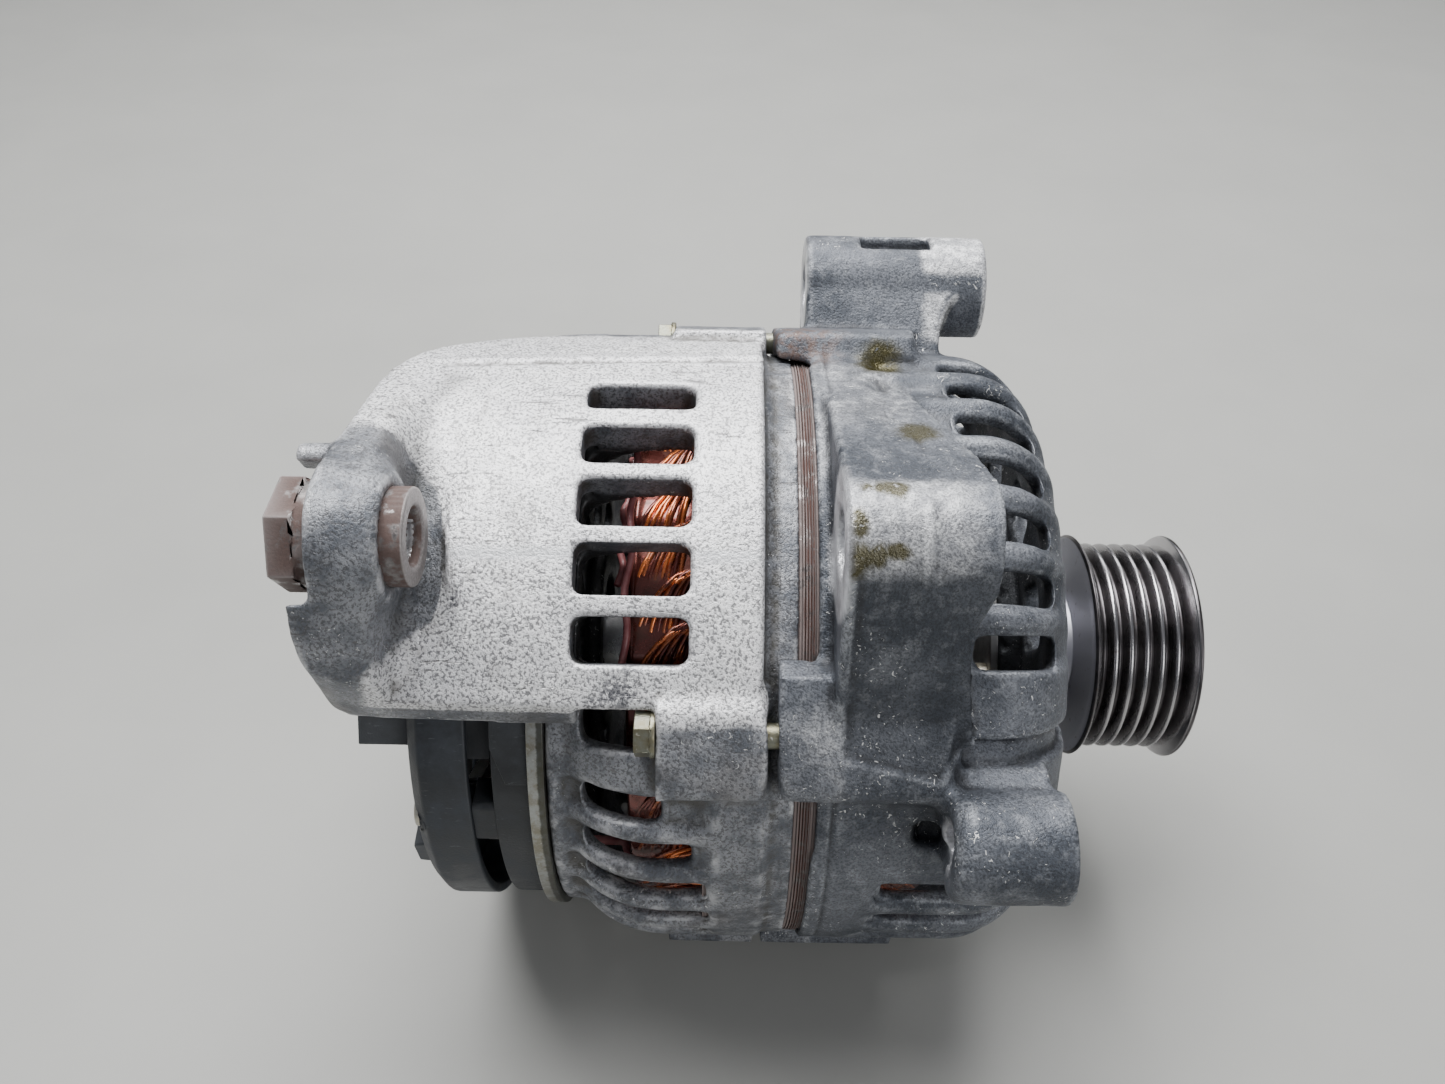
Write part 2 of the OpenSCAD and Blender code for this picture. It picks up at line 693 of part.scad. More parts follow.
module rear_bearing_seals() {
    color([0.12, 0.12, 0.12]) on_shaft() union() {
        tube(rear_bearing_x + 0.1, rear_bearing_x + 0.9, 14.65, 11.4);
        tube(rear_bearing_x + rear_bearing_w - 0.9, rear_bearing_x + rear_bearing_w - 0.1,
            14.65, 11.4);
    }
}

module rear_bearing_sleeve() {
    color([0.9, 0.88, 0.8]) on_shaft() tube(rear_bearing_x, rear_bearing_x + rear_bearing_w - 0.05,
        rear_bearing_ro + sleeve_t - 0.02, rear_bearing_ro + 0.01);
}

module bearing_retainer() {
    color([0.62, 0.62, 0.6]) on_shaft() difference() {
        tube(front_bearing_x - 1.8, front_bearing_x - 0.02, 32, 13.6);
        for (i = [0:2]) polar(30 + 120 * i, 28.2) disc(-40, -30, 1.8);
    }
}

module retainer_screws() {
    color([0.55, 0.53, 0.48]) on_shaft() for (i = [0:2]) polar(30 + 120 * i, 28.2) difference() {
        union() {
            disc(front_bearing_x - 1.85, -27.6, 1.7);
            disc(front_bearing_x - 4.2, front_bearing_x - 1.85, 3.4);
        }
        translate([0, 0, front_bearing_x - 5]) cylinder(h = 2.2, r = 1.7, $fn = 6);
    }
}

// ---- rectifier --------------------------------------------------------------

diode_r = 6.4;

module negative_heat_sink() {
    color([0.7, 0.68, 0.55]) on_shaft() difference() {
        tube(ring_plate_x, ring_plate_x + ring_plate_t, ring_plate_r, 24);
        for (a = diode_angles) polar(a, diode_reach) disc(-136, -130, diode_r + 0.02);
        for (a = lead_angles) polar(a, lead_reach) disc(-136, -130, 2.2);
        for (a = post_angles) polar(a, post_reach) disc(-136, -130, 2.1);
        for (a = [9.5, 54.5, 99.5, 144.5, 279.5, 324.5]) axial_slot(a, 28, 19, 13, -136, -130, 3);
    }
}

plus_x0 = -150.5;
plus_x1 = -147.5;

module positive_heat_sink() {
    color([0.72, 0.72, 0.72]) on_shaft() difference() {
        tube(plus_x0, plus_x1, 50, 20);
        // The brush holder stands in the open side
        rotate([0, 0, holder_angle]) translate([5, -21, -152]) cube([50, 42, 6]);
        for (a = diode_angles) polar(a, diode_reach) disc(-152, -146, diode_r + 0.02);
        polar(stud_angle, stud_reach) disc(-152, -146, 4.32);
        for (a = [60, 100, 300, 340]) axial_slot(a, 30, 12, 8, -152, -146, 2);
        for (a = insulator_angles) polar(a, insulator_reach) disc(-152, -146, 2.05);
    }
}

insulator_angles = [32, 184, 302];
insulator_reach = 46.4;

// Bushes that hold the positive plate off the ring plate
module heat_sink_insulators() {
    color([0.75, 0.7, 0.6]) on_shaft() for (a = insulator_angles) polar(a, insulator_reach) union() {
        disc(ring_plate_x - 0.02 - 13.0, ring_plate_x - 0.02, 3.4);
        disc(plus_x0 - 0.6, plus_x1, 2);
    }
}

module diodes() {
    color([0.65, 0.62, 0.6]) on_shaft() for (a = diode_angles) polar(a, diode_reach) {
        union() {
            disc(-139.6, ring_plate_x + ring_plate_t, diode_r);
            disc(-140.9, -139.5, 0.9);
        }
        union() {
            disc(plus_x0, -142.6, diode_r);
            disc(-142.7, -141.2, 0.9);
        }
    }
}

module rectifier_carrier() {
    step_x = -139.3;
    color([0.11, 0.12, 0.14]) on_shaft() difference() {
        union() {
            tube(carrier_x, ring_plate_x - 0.05, cover_r - 0.6, 51.8);
            for (i = [0:2]) intersection() {
                tube(carrier_x, ring_plate_x - 0.05, cover_r, 52);
                radial_prism(post_angles[i] - 30,
                    [[carrier_x, -34], [ring_plate_x, -34], [ring_plate_x, 20],
                     [step_x, 20], [carrier_x, 12]], 30, 80);
            }
            for (a = post_angles) polar(a, post_reach - 4.4)
                translate([0, 0, cover_mouth_x]) linear_extrude(6) polygon(round_rect(8.8, 11, 1.5));
        }
        for (a = post_angles) polar(a, post_reach) disc(-150, -130, 2.1);
    }
}

// ---- brushes and regulator --------------------------------------------------

brush_w = 4.6;
brush_d = 7;
brush_length = 16;
brush_tip_r = ring_r + 0.05;
spring_end_r = 35.4;

// Places a brush, spring or channel along the holder's direction, at a ring's middle
module at_ring(ring) {
    rotate([0, 0, holder_angle]) translate([0, 0, (ring[0] + ring[1]) / 2]) children();
}

module brush(ring) {
    at_ring(ring) difference() {
        translate([brush_tip_r - 1.3, -brush_d / 2, -brush_w / 2])
            cube([brush_length + 1.3, brush_d, brush_w]);
        translate([0, 0, -10]) cylinder(h = 20, r = brush_tip_r);
    }
}

// A coil spring along local X from x0 to x1
module coil_spring(x0, x1, r, wire, turns) {
    steps = 14;
    sides = 6;
    rings = turns * steps;
    pitch = (x1 - x0 - 2 * wire) / rings;
    function ring_point(i, j) = let (a = 360 * i / steps, b = 360 * j / sides)
        [x0 + wire + pitch * i + wire * sin(b), (r + wire * cos(b)) * cos(a),
         (r + wire * cos(b)) * sin(a)];
    polyhedron(
        points = [for (i = [0:rings], j = [0:sides - 1]) ring_point(i, j)],
        faces = concat(
            [[for (j = [0:sides - 1]) j]],
            [for (i = [0:rings - 1], j = [0:sides - 1]) let (k = (j + 1) % sides)
                [i * sides + j, (i + 1) * sides + j, (i + 1) * sides + k, i * sides + k]],
            [[for (j = [sides - 1:-1:0]) rings * sides + j]]));
}

module brush_spring(ring) {
    at_ring(ring) coil_spring(brush_tip_r + brush_length + 0.05, spring_end_r - 0.05, 1.6, 0.3, 7);
}

module brush_inner() { color([0.2, 0.2, 0.21]) on_shaft() brush(ring_inner_x); }
module brush_outer() { color([0.2, 0.2, 0.21]) on_shaft() brush(ring_outer_x); }
module brush_spring_inner() { color("silver") on_shaft() brush_spring(ring_inner_x); }
module brush_spring_outer() { color("silver") on_shaft() brush_spring(ring_outer_x); }

socket_x = -170.3;              // open end of the plug socket
socket_reach = 42;
socket_w = 20;
socket_h = 13;

module brush_holder() {
    play = 0.12;
    color([0.1, 0.11, 0.13]) on_shaft() difference() {
        union() {
            rotate([0, 0, holder_angle]) translate([10.4, -9, -156.4]) cube([28, 18, 17.4]);
            rotate([0, 0, holder_angle]) translate([38, -13, -156.4]) cube([16.6, 26, 13]);
            rotate([0, 0, holder_angle]) translate([socket_reach, -socket_w / 2, socket_x])
                cube([socket_h, socket_w, 16]);
        }
        for (ring = [ring_inner_x, ring_outer_x]) at_ring(ring)
            translate([9, -brush_d / 2 - play, -brush_w / 2 - play])
                cube([spring_end_r - 9, brush_d + 2 * play, brush_w + 2 * play]);
        // The plug's socket
        rotate([0, 0, holder_angle]) translate([socket_reach + 2, 2 - socket_w / 2, socket_x - 1])
            cube([socket_h - 4, socket_w - 4, 11.5]);
        // Pin holes
        for (y = [-4.5, 0, 4.5]) rotate([0, 0, holder_angle])
            translate([socket_reach + socket_h / 2 - 0.4, y - 0.9, -162]) cube([0.8, 1.8, 6]);
        // Clear of the cover's round wall
        tube(-158, -140, 70, cover_r - 3);
    }
}

module connector_pins() {
    color([0.8, 0.75, 0.55]) on_shaft() for (y = [-4.5, 0, 4.5]) rotate([0, 0, holder_angle])
        translate([socket_reach + socket_h / 2 - 0.4, y - 0.9, -164.5]) cube([0.8, 1.8, 8.4]);
}

module rear_cover() {
    skin = 2.2;
    color([0.13, 0.14, 0.16]) on_shaft() difference() {
        union() {
            rotate_extrude() polygon([
                [0, cover_back_x], [cover_r - 2.5, cover_back_x], [cover_r, cover_back_x + 2.5],
                [cover_r, cover_mouth_x], [cover_r - skin, cover_mouth_x],
                [cover_r - skin, cover_back_x + skin], [0, cover_back_x + skin]]);
            for (a = post_angles) polar(a, post_reach)
                disc(cover_back_x + 1, cover_mouth_x - 0.05, 5);
            polar(stud_angle, stud_reach) tube(cover_back_x - 1.2, cover_back_x + 1, 9.4, 7.4);
            // Snap clip on the rim
            radial_prism(190, [[-162.2, -4], [-162.2, 4], [-158, 5], [-158, -5]], 52, 58);
        }
        for (a = post_angles) polar(a, post_reach) disc(-165, -140, 2.1);
        for (a = post_angles) polar(a, post_reach) disc(-165, cover_back_x + 1.6, 4.2);
        polar(stud_angle, stud_reach) disc(-165, -150, 7.4);
        rotate([0, 0, holder_angle]) translate([socket_reach - 0.4, -socket_w / 2 - 0.4, -165])
            cube([socket_h + 0.8, socket_w + 0.8, 12]);
        // Air inlet slots
        for (a = [45:22.5:330]) if (!within(a, 125, 175))
            axial_slot(a, 22, 25, 4.2, -162, -155, 2);
        for (a = [-22.5, 337.5]) axial_slot(a, 22, 25, 4.2, -162, -155, 2);
    }
}

module cover_screws() {
    color([0.6, 0.58, 0.5]) on_shaft() for (a = post_angles) polar(a, post_reach) difference() {
        union() {
            disc(-157.6, -124.5, 2);
            disc(-159.5, -157.6, 3.9);
        }
        translate([0, 0, -161]) cylinder(h = 2.5, r = 2, $fn = 6);
    }
}

module b_plus_stud() {
    color([0.72, 0.66, 0.45]) on_shaft() polar(stud_angle, stud_reach) union() {
        disc(-160.6, plus_x0 - 0.05, 7.2);
        disc(plus_x0 - 0.1, plus_x1, 4.3);
        disc(-169, -160.5, 3.6);
        disc(-176, -169, 4);
    }
}

module b_plus_nut() {
    color([0.7, 0.66, 0.5]) on_shaft() polar(stud_angle, stud_reach) difference() {
        union() {
            disc(-162.2, -160.65, 8.5);
            translate([0, 0, -168.6]) cylinder(h = 6.5, r = 7.5, $fn = 6);
        }
        disc(-170, -160, 3.62);
    }
}

front_housing();
rear_housing();
stator_core();
stator_winding();
slot_liners();
phase_leads();
through_bolts();
mount_bushing();
rotor_shaft();
claw_pole_front();
claw_pole_rear();
field_coil();
coil_bobbin();
front_fan();
rear_fan();
pulley_spacer();
pulley();
pulley_nut();
slip_ring_hub();
slip_rings();
front_bearing_outer();
front_bearing_inner();
front_bearing_balls();
front_bearing_cage();
front_bearing_seals();
bearing_retainer();
retainer_screws();
rear_bearing_outer();
rear_bearing_inner();
rear_bearing_balls();
rear_bearing_cage();
rear_bearing_seals();
rear_bearing_sleeve();
negative_heat_sink();
positive_heat_sink();
heat_sink_insulators();
diodes();
rectifier_carrier();
brush_holder();
brush_inner();
brush_outer();
brush_spring_inner();
brush_spring_outer();
connector_pins();
rear_cover();
cover_screws();
b_plus_stud();
b_plus_nut();
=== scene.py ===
import itertools
import json
import math
import random

import bmesh
import bpy
import numpy as np
from mathutils import Matrix, Vector


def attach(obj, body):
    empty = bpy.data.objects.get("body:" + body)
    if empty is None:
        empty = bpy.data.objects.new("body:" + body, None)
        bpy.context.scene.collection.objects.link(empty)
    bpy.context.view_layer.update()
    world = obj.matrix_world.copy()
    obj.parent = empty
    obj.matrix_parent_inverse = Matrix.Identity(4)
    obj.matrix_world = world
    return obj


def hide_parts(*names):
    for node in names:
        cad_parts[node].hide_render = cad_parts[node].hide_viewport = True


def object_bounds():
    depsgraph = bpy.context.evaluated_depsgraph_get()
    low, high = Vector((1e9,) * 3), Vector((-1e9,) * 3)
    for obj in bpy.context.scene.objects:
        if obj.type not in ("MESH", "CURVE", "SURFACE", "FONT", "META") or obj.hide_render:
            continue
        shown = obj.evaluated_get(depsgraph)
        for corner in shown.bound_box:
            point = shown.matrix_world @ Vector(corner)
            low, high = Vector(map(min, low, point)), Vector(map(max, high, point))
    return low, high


MM = 0.001

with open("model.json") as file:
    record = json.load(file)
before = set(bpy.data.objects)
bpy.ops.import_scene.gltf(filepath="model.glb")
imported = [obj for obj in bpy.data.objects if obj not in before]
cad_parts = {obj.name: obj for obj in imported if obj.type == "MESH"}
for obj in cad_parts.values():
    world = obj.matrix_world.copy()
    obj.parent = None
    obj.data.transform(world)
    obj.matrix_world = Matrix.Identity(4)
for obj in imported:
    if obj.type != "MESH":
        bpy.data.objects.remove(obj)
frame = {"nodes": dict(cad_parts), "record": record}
cad_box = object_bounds()

# Shape of the alternator that the pieces share with the CAD, in millimetres and degrees
CORE_R = 68.9
CORE_GAP = (-80.6, -77.8)
CORE_ENDS = (-99.2, -65.2)
PIVOT = (121.5, 84)
UPPER_LUG = (47.3, 88.5)
LOWER_LUG = (162, 80)
FIRST_BOLT = (148, 72.8)
BODY_R = 70.7
SHOULDER_R = 50.7
FRONT_SHOULDER = (-43.5, 18.5)
REAR_SHOULDER = (-108, -23)
CAST_VOXEL = 0.72
CAST_PASSES = 6
RIB_PASSES = 6


def polar(x, angle, reach):
    """A point given in millimetres along the shaft, degrees round it and reach from it."""
    a = math.radians(angle)
    return Vector((x, reach * math.cos(a), reach * math.sin(a))) * MM


def smoothstep(low, high, value):
    t = np.clip((value - low) / (high - low), 0, 1)
    return t * t * (3 - 2 * t)


# ---- node materials ----

class Surface:
    """A node material around one Principled shader, with short names for its nodes."""

    def __init__(self, name, metallic=0.0, roughness=0.5, coat=0.0):
        self.material = bpy.data.materials.new(name)
        self.material.use_nodes = True
        self.tree = self.material.node_tree
        self.shader = self.tree.nodes["Principled BSDF"]
        self.shader.inputs["Metallic"].default_value = metallic
        self.shader.inputs["Roughness"].default_value = roughness
        self.shader.inputs["Coat Weight"].default_value = coat
        self.place = self.add("ShaderNodeTexCoord").outputs["Object"]

    def add(self, kind, **settings):
        node = self.tree.nodes.new(kind)
        for key, value in settings.items():
            setattr(node, key, value)
        return node

    def join(self, value, socket):
        if isinstance(value, bpy.types.NodeSocket):
            self.tree.links.new(value, socket)
        elif isinstance(value, tuple):
            socket.default_value = (*value, 1) if len(value) == 3 and socket.type == "RGBA" else value
        else:
            socket.default_value = value

    def noise(self, size, detail=4, roughness=0.6, distortion=0.0, place=None):
        """Cloudy values round 0.5, with features of about size millimetres."""
        node = self.add("ShaderNodeTexNoise")
        self.join(place or self.place, node.inputs["Vector"])
        node.inputs["Scale"].default_value = 1 / (size * MM)
        node.inputs["Detail"].default_value = detail
        node.inputs["Roughness"].default_value = roughness
        node.inputs["Distortion"].default_value = distortion
        return node.outputs["Fac"]

    def stretched(self, x=1.0, y=1.0, z=1.0):
        """The object's coordinates with each axis scaled."""
        node = self.add("ShaderNodeMapping")
        self.join(self.place, node.inputs["Vector"])
        node.inputs["Scale"].default_value = (x, y, z)
        return node.outputs["Vector"]

    def math(self, operation, a, b=0.0):
        node = self.add("ShaderNodeMath", operation=operation)
        self.join(a, node.inputs[0])
        self.join(b, node.inputs[1])
        return node.outputs[0]

    def times(self, a, b):
        return self.math("MULTIPLY", a, b)

    def ramp(self, value, low, high, out_low=0.0, out_high=1.0):
        """Moves smoothly from out_low to out_high as value goes from low to high."""
        node = self.add("ShaderNodeMapRange", interpolation_type="SMOOTHSTEP")
        self.join(value, node.inputs["Value"])
        for key, number in zip(("From Min", "From Max", "To Min", "To Max"),
                               (low, high, out_low, out_high)):
            node.inputs[key].default_value = number
        return node.outputs["Result"]

    def mix(self, factor, a, b):
        """Colour a where factor is 0 and b where it is 1."""
        node = self.add("ShaderNodeMix", data_type="RGBA")
        self.join(factor, node.inputs[0])
        self.join(a, node.inputs[6])
        self.join(b, node.inputs[7])
        return node.outputs[2]

    def blend(self, factor, a, b):
        """Number a where factor is 0 and b where it is 1."""
        node = self.add("ShaderNodeMix", data_type="FLOAT")
        self.join(factor, node.inputs[0])
        self.join(a, node.inputs[2])
        self.join(b, node.inputs[3])
        return node.outputs[0]

    def attribute(self, name):
        return self.add("ShaderNodeAttribute", attribute_name=name).outputs["Fac"]

    def edges(self):
        """1 on outer edges and 0 on flat ground, read from the mesh's own shape."""
        point = self.add("ShaderNodeNewGeometry").outputs["Pointiness"]
        return self.ramp(point, 0.51, 0.58)

    def station(self):
        """The place along the shaft in millimetres."""
        node = self.add("ShaderNodeSeparateXYZ")
        self.join(self.place, node.inputs[0])
        return self.times(node.outputs[0], 1 / MM)

    def ragged(self, size, amount):
        """The object's coordinates, shifted about by up to roughly amount millimetres."""
        cloud = self.add("ShaderNodeTexNoise")
        self.join(self.place, cloud.inputs["Vector"])
        cloud.inputs["Scale"].default_value = 1 / (size * MM)
        cloud.inputs["Detail"].default_value = 4
        middle = self.add("ShaderNodeVectorMath", operation="SUBTRACT")
        self.join(cloud.outputs["Color"], middle.inputs[0])
        middle.inputs[1].default_value = (0.5, 0.5, 0.5)
        shift = self.add("ShaderNodeVectorMath", operation="SCALE")
        self.join(middle.outputs[0], shift.inputs[0])
        shift.inputs["Scale"].default_value = amount * 4 * MM
        total = self.add("ShaderNodeVectorMath", operation="ADD")
        self.join(self.place, total.inputs[0])
        self.join(shift.outputs[0], total.inputs[1])
        return total.outputs[0]

    def near(self, place, radius, soft=0.5, where=None):
        """1 within radius millimetres of a point, falling to 0 further out."""
        node = self.add("ShaderNodeVectorMath", operation="DISTANCE")
        self.join(where or self.place, node.inputs[0])
        node.inputs[1].default_value = place
        return self.ramp(node.outputs["Value"], radius * (1 - soft) * MM, radius * (1 + soft) * MM, 1, 0)

    def finish(self, color, roughness=None, height=None, depth=0.1, metallic=None):
        """Links the colour, the roughness and a bump whose height is in millimetres."""
        self.join(color, self.shader.inputs["Base Color"])
        if roughness is not None:
            self.join(roughness, self.shader.inputs["Roughness"])
        if metallic is not None:
            self.join(metallic, self.shader.inputs["Metallic"])
        if height is not None:
            bump = self.add("ShaderNodeBump")
            bump.inputs["Distance"].default_value = depth * MM
            bump.inputs["Strength"].default_value = 1.0
            self.join(height, bump.inputs["Height"])
            self.join(bump.outputs["Normal"], self.shader.inputs["Normal"])
        return self.material


def specks(s, size, share, spread):
    """Scattered curled flecks of white salt, thick in some places and missing in others."""
    curls = s.ramp(s.noise(size, detail=3, roughness=0.5, distortion=1.6), 0.655, 0.69)
    patchy = s.ramp(s.noise(spread, detail=4), 0.6 - share, 0.66 - share)
    return s.times(curls, patchy)


def cast_front():
    """Sand-cast aluminium gone blue-grey, with worn light edges, salt flecks and oil, a silvery zone that is
    partly a painted highlight, and painted shade in the ribs and pockets.
    """
    s = Surface("cast_front", metallic=0.5, roughness=0.6)
    cloud = s.noise(26, detail=6, roughness=0.62)
    patch = s.noise(9, detail=6, roughness=0.7, distortion=0.4)
    blotch = s.noise(2.4, detail=5, roughness=0.65)
    grain = s.noise(0.5, detail=2)
    color = s.mix(s.ramp(cloud, 0.38, 0.62), (0.068, 0.077, 0.094), (0.178, 0.19, 0.216))
    color = s.mix(s.times(s.ramp(patch, 0.52, 0.72), 0.6), color, (0.32, 0.335, 0.365))
    color = s.mix(s.times(s.ramp(blotch, 0.5, 0.7), 0.35), color, (0.36, 0.375, 0.4))
    worn = s.times(s.attribute("edge"), s.ramp(patch, 0.42, 0.6))
    color = s.mix(s.times(worn, 0.5), color, (0.5, 0.52, 0.55))
    # Silvery colour where the bright values lie: partly cleaner casting, partly a painted highlight on the
    # top, the upper lug and the boss's crest.
    silver_and_highlight = s.mix(s.ramp(blotch, 0.35, 0.65), (0.42, 0.425, 0.445), (0.86, 0.865, 0.88))
    shine = s.math("ADD", s.attribute("bright"), s.times(s.math("SUBTRACT", patch, 0.5), 0.8))
    zone = s.times(s.ramp(shine, 0.15, 0.85), s.ramp(s.attribute("bright"), 0, 0.2))
    color = s.mix(zone, color, silver_and_highlight)
    color = s.mix(s.ramp(grain, 0.36, 0.6), s.mix(0.55, color, (0.02, 0.021, 0.025)), color)
    dirt = s.times(s.attribute("cavity"), s.ramp(s.noise(5, detail=5), 0.25, 0.65))
    color = s.mix(s.times(dirt, 0.8), color, (0.035, 0.036, 0.04))
    # Painted shade inside the ribs, in the pockets and on the sunken panel.
    color = s.mix(s.attribute("grime_and_shade"), color, (0.028, 0.03, 0.034))
    flecks = specks(s, 1.25, 0.1, 15)
    color = s.mix(s.times(flecks, 0.85), color, (0.82, 0.82, 0.81))
    oil = oil_stains(s)
    color = s.mix(s.times(oil, 0.9), color, (0.052, 0.043, 0.006))
    rust = s.times(s.near(polar(-80, 66, 74), 9, 0.6), s.ramp(blotch, 0.4, 0.6))
    color = s.mix(s.times(rust, 0.7), color, (0.15, 0.085, 0.06))
    machined = s.attribute("machined")
    color = s.mix(machined, color, s.mix(s.ramp(patch, 0.4, 0.6), (0.42, 0.42, 0.44), (0.76, 0.77, 0.8)))
    rough = s.blend(s.ramp(grain, 0.3, 0.7), 0.42, 0.62)
    rough = s.blend(oil, rough, 0.25)
    rough = s.blend(machined, rough, 0.3)
    height = s.math("ADD", s.times(grain, 0.9), s.times(flecks, 0.6))
    height = s.math("ADD", height, s.times(blotch, 0.9))
    return s.finish(color, rough, height, 0.2)


def oil_stains(s):
    """Dried olive oil in the corners on top of the front pivot boss."""
    spots = [((-60.9, 72.2, 73), 5.2), ((-61.8, 85.5, 74.5), 2.2), ((-58.5, 103.8, 77), 4.6),
             ((-71.5, 116.6, 96), 1.6), ((-68.8, 116.7, 96), 1.6), ((-66.2, 117, 96), 2.2),
             ((-73.6, 121.5, 97), 2.4), ((-73.0, 125.4, 96), 3.0), ((-69.6, 125, 97), 2.4),
             ((-66.0, 124.6, 97), 2.2), ((-63.0, 129, 95), 2.6)]
    where = s.ragged(3.5, 0.8)
    total = 0.0
    for place, radius in spots:
        total = s.math("MAXIMUM", total, s.near(polar(*place), radius * 1.15, 0.3, where))
    return s.times(total, s.ramp(s.noise(1.4, detail=4), 0.28, 0.42))


def cast_rear():
    """Shot-blasted aluminium: a near-white grainy arm that is partly a painted highlight, a greyer body and
    end, and painted shade in the ribs, under the arm and beside the pivot lug.
    """
    s = Surface("cast_rear", metallic=0.5, roughness=0.5)
    cloud = s.noise(22, detail=5, roughness=0.6)
    patch = s.noise(8, detail=6, roughness=0.7)
    blotch = s.noise(2.2, detail=5, roughness=0.65)
    grain = s.noise(0.6, detail=2, roughness=0.7)
    dull = s.mix(s.ramp(patch, 0.35, 0.65), (0.12, 0.13, 0.15), (0.32, 0.33, 0.352))
    dull = s.mix(s.times(s.ramp(blotch, 0.5, 0.7), 0.4), dull, (0.4, 0.405, 0.42))
    dull = s.mix(s.times(s.ramp(cloud, 0.55, 0.7), 0.35), dull, (0.14, 0.115, 0.09))
    # Near-white arm colour: partly cleaner blasted metal, partly a painted highlight.
    blasted_and_lit = s.mix(s.ramp(cloud, 0.3, 0.7), (0.84, 0.835, 0.855), (1.0, 0.995, 1.0))
    streaks = s.noise(6, detail=6, roughness=0.75, place=s.stretched(1, 0.5, 0.5))
    smear = s.times(s.ramp(streaks, 0.53, 0.7), 0.55)
    blasted_and_lit = s.mix(smear, blasted_and_lit, (0.33, 0.315, 0.3))
    blasted_and_lit = s.mix(s.times(s.ramp(blotch, 0.35, 0.6, 1, 0), 0.3), blasted_and_lit, (0.4, 0.4, 0.42))
    edge_of_zone = s.math("ADD", s.attribute("bright"),
                          s.times(s.math("SUBTRACT", patch, 0.5), 0.9))
    color = s.mix(s.ramp(edge_of_zone, 0.25, 0.75), dull, blasted_and_lit)
    color = s.mix(s.ramp(grain, 0.4, 0.53), s.mix(0.78, color, (0.09, 0.09, 0.095)), color)
    worn = s.times(s.attribute("edge"), s.ramp(patch, 0.42, 0.6))
    color = s.mix(s.times(worn, 0.5), color, (0.8, 0.8, 0.82))
    dirt = s.times(s.attribute("cavity"), s.ramp(s.noise(4, detail=5), 0.25, 0.6))
    color = s.mix(s.times(dirt, 0.8), color, (0.07, 0.065, 0.055))
    # Painted shade inside the ribs, under the arm and in the hollow beside the pivot lug.
    color = s.mix(s.attribute("grime_and_shade"), color, (0.03, 0.03, 0.03))
    scratches = s.times(s.ramp(s.noise(1.3, detail=4, place=s.stretched(0.12, 1, 1)), 0.63, 0.69),
                        s.ramp(s.noise(17, detail=2), 0.44, 0.56))
    color = s.mix(s.times(scratches, 0.75), color, (0.14, 0.135, 0.135))
    color = s.mix(rear_marks(s), color, (0.035, 0.036, 0.05))
    flecks = specks(s, 1.2, 0.085, 14)
    color = s.mix(s.times(flecks, 0.8), color, (0.84, 0.84, 0.83))
    machined = s.attribute("machined")
    color = s.mix(machined, color, (0.62, 0.63, 0.65))
    rough = s.blend(s.ramp(grain, 0.3, 0.7), 0.36, 0.6)
    height = s.math("ADD", s.times(grain, 1.1), s.times(flecks, 0.4))
    height = s.math("ADD", height, s.times(blotch, 0.8))
    height = s.math("SUBTRACT", height, s.times(scratches, 0.6))
    return s.finish(color, rough, height, 0.2)


def rear_marks(s):
    """Dark bruises on the arm."""
    spots = [((-115.3, 141.5, 74.5), 3.6), ((-132.7, 120.7, 74.5), 0.9), ((-146.2, 128.6, 74), 1.3),
             ((-119.5, 143.2, 74.5), 1.6), ((-113, 138.2, 74.5), 1.8)]
    where = s.ragged(1.6, 0.8)
    total = 0.0
    for place, radius in spots:
        total = s.math("MAXIMUM", total, s.near(polar(*place), radius, 0.5, where))
    return s.times(s.times(total, s.ramp(s.noise(0.9, detail=3), 0.4, 0.55)), 0.75)


def rusty_steel(name, steel, rust, amount, layers=0.0, bare_from=None):
    """Steel under a brown film of rust, rubbed bare beyond the station bare_from.

    The number given as layers adds the fine edges of a stack of sheets.
    """
    s = Surface(name, metallic=0.7, roughness=0.6)
    patch = s.noise(4, detail=7, roughness=0.72)
    grain = s.noise(0.5, detail=3)
    cover = s.ramp(patch, 0.62 - amount * 0.3, 0.75 - amount * 0.3)
    if bare_from is not None:
        bare = s.ramp(s.station(), bare_from - 0.15, bare_from + 0.15, 1, 0.25)
        cover = s.times(cover, bare)
    color = s.mix(s.ramp(grain, 0.35, 0.7), tuple(c * 0.6 for c in steel), steel)
    color = s.mix(cover, color, s.mix(grain, tuple(c * 0.45 for c in rust), rust))
    color = s.mix(s.times(s.edges(), 0.5), color, tuple(min(c * 1.9, 1) for c in steel))
    height = s.times(grain, 0.6)
    if layers:
        wave = s.math("FRACT", s.times(s.station(), 1 / layers))
        line = s.ramp(s.math("ABSOLUTE", s.math("SUBTRACT", wave, 0.5)), 0.3, 0.48)
        color = s.mix(s.times(line, 0.6), color, (0.02, 0.014, 0.012))
        height = s.math("SUBTRACT", height, line)
    rough = s.blend(cover, 0.4, 0.8)
    return s.finish(color, rough, height, 0.12, metallic=s.blend(cover, 0.9, 0.15))


def worked_steel(name, color_low, color_high, roughness, size=0.6):
    """Turned, ground or pressed metal with fine tool lines and faint stains."""
    s = Surface(name, metallic=1.0, roughness=roughness)
    lines = s.noise(size, detail=3)
    stain = s.noise(7, detail=5)
    color = s.mix(s.ramp(stain, 0.35, 0.7), color_high, color_low)
    color = s.mix(s.times(s.edges(), 0.5), color, tuple(min(c * 1.5 + 0.05, 1) for c in color_high))
    rough = s.blend(s.ramp(stain, 0.35, 0.75), roughness * 0.8, min(roughness * 1.6, 1))
    return s.finish(color, rough, lines, 0.03)


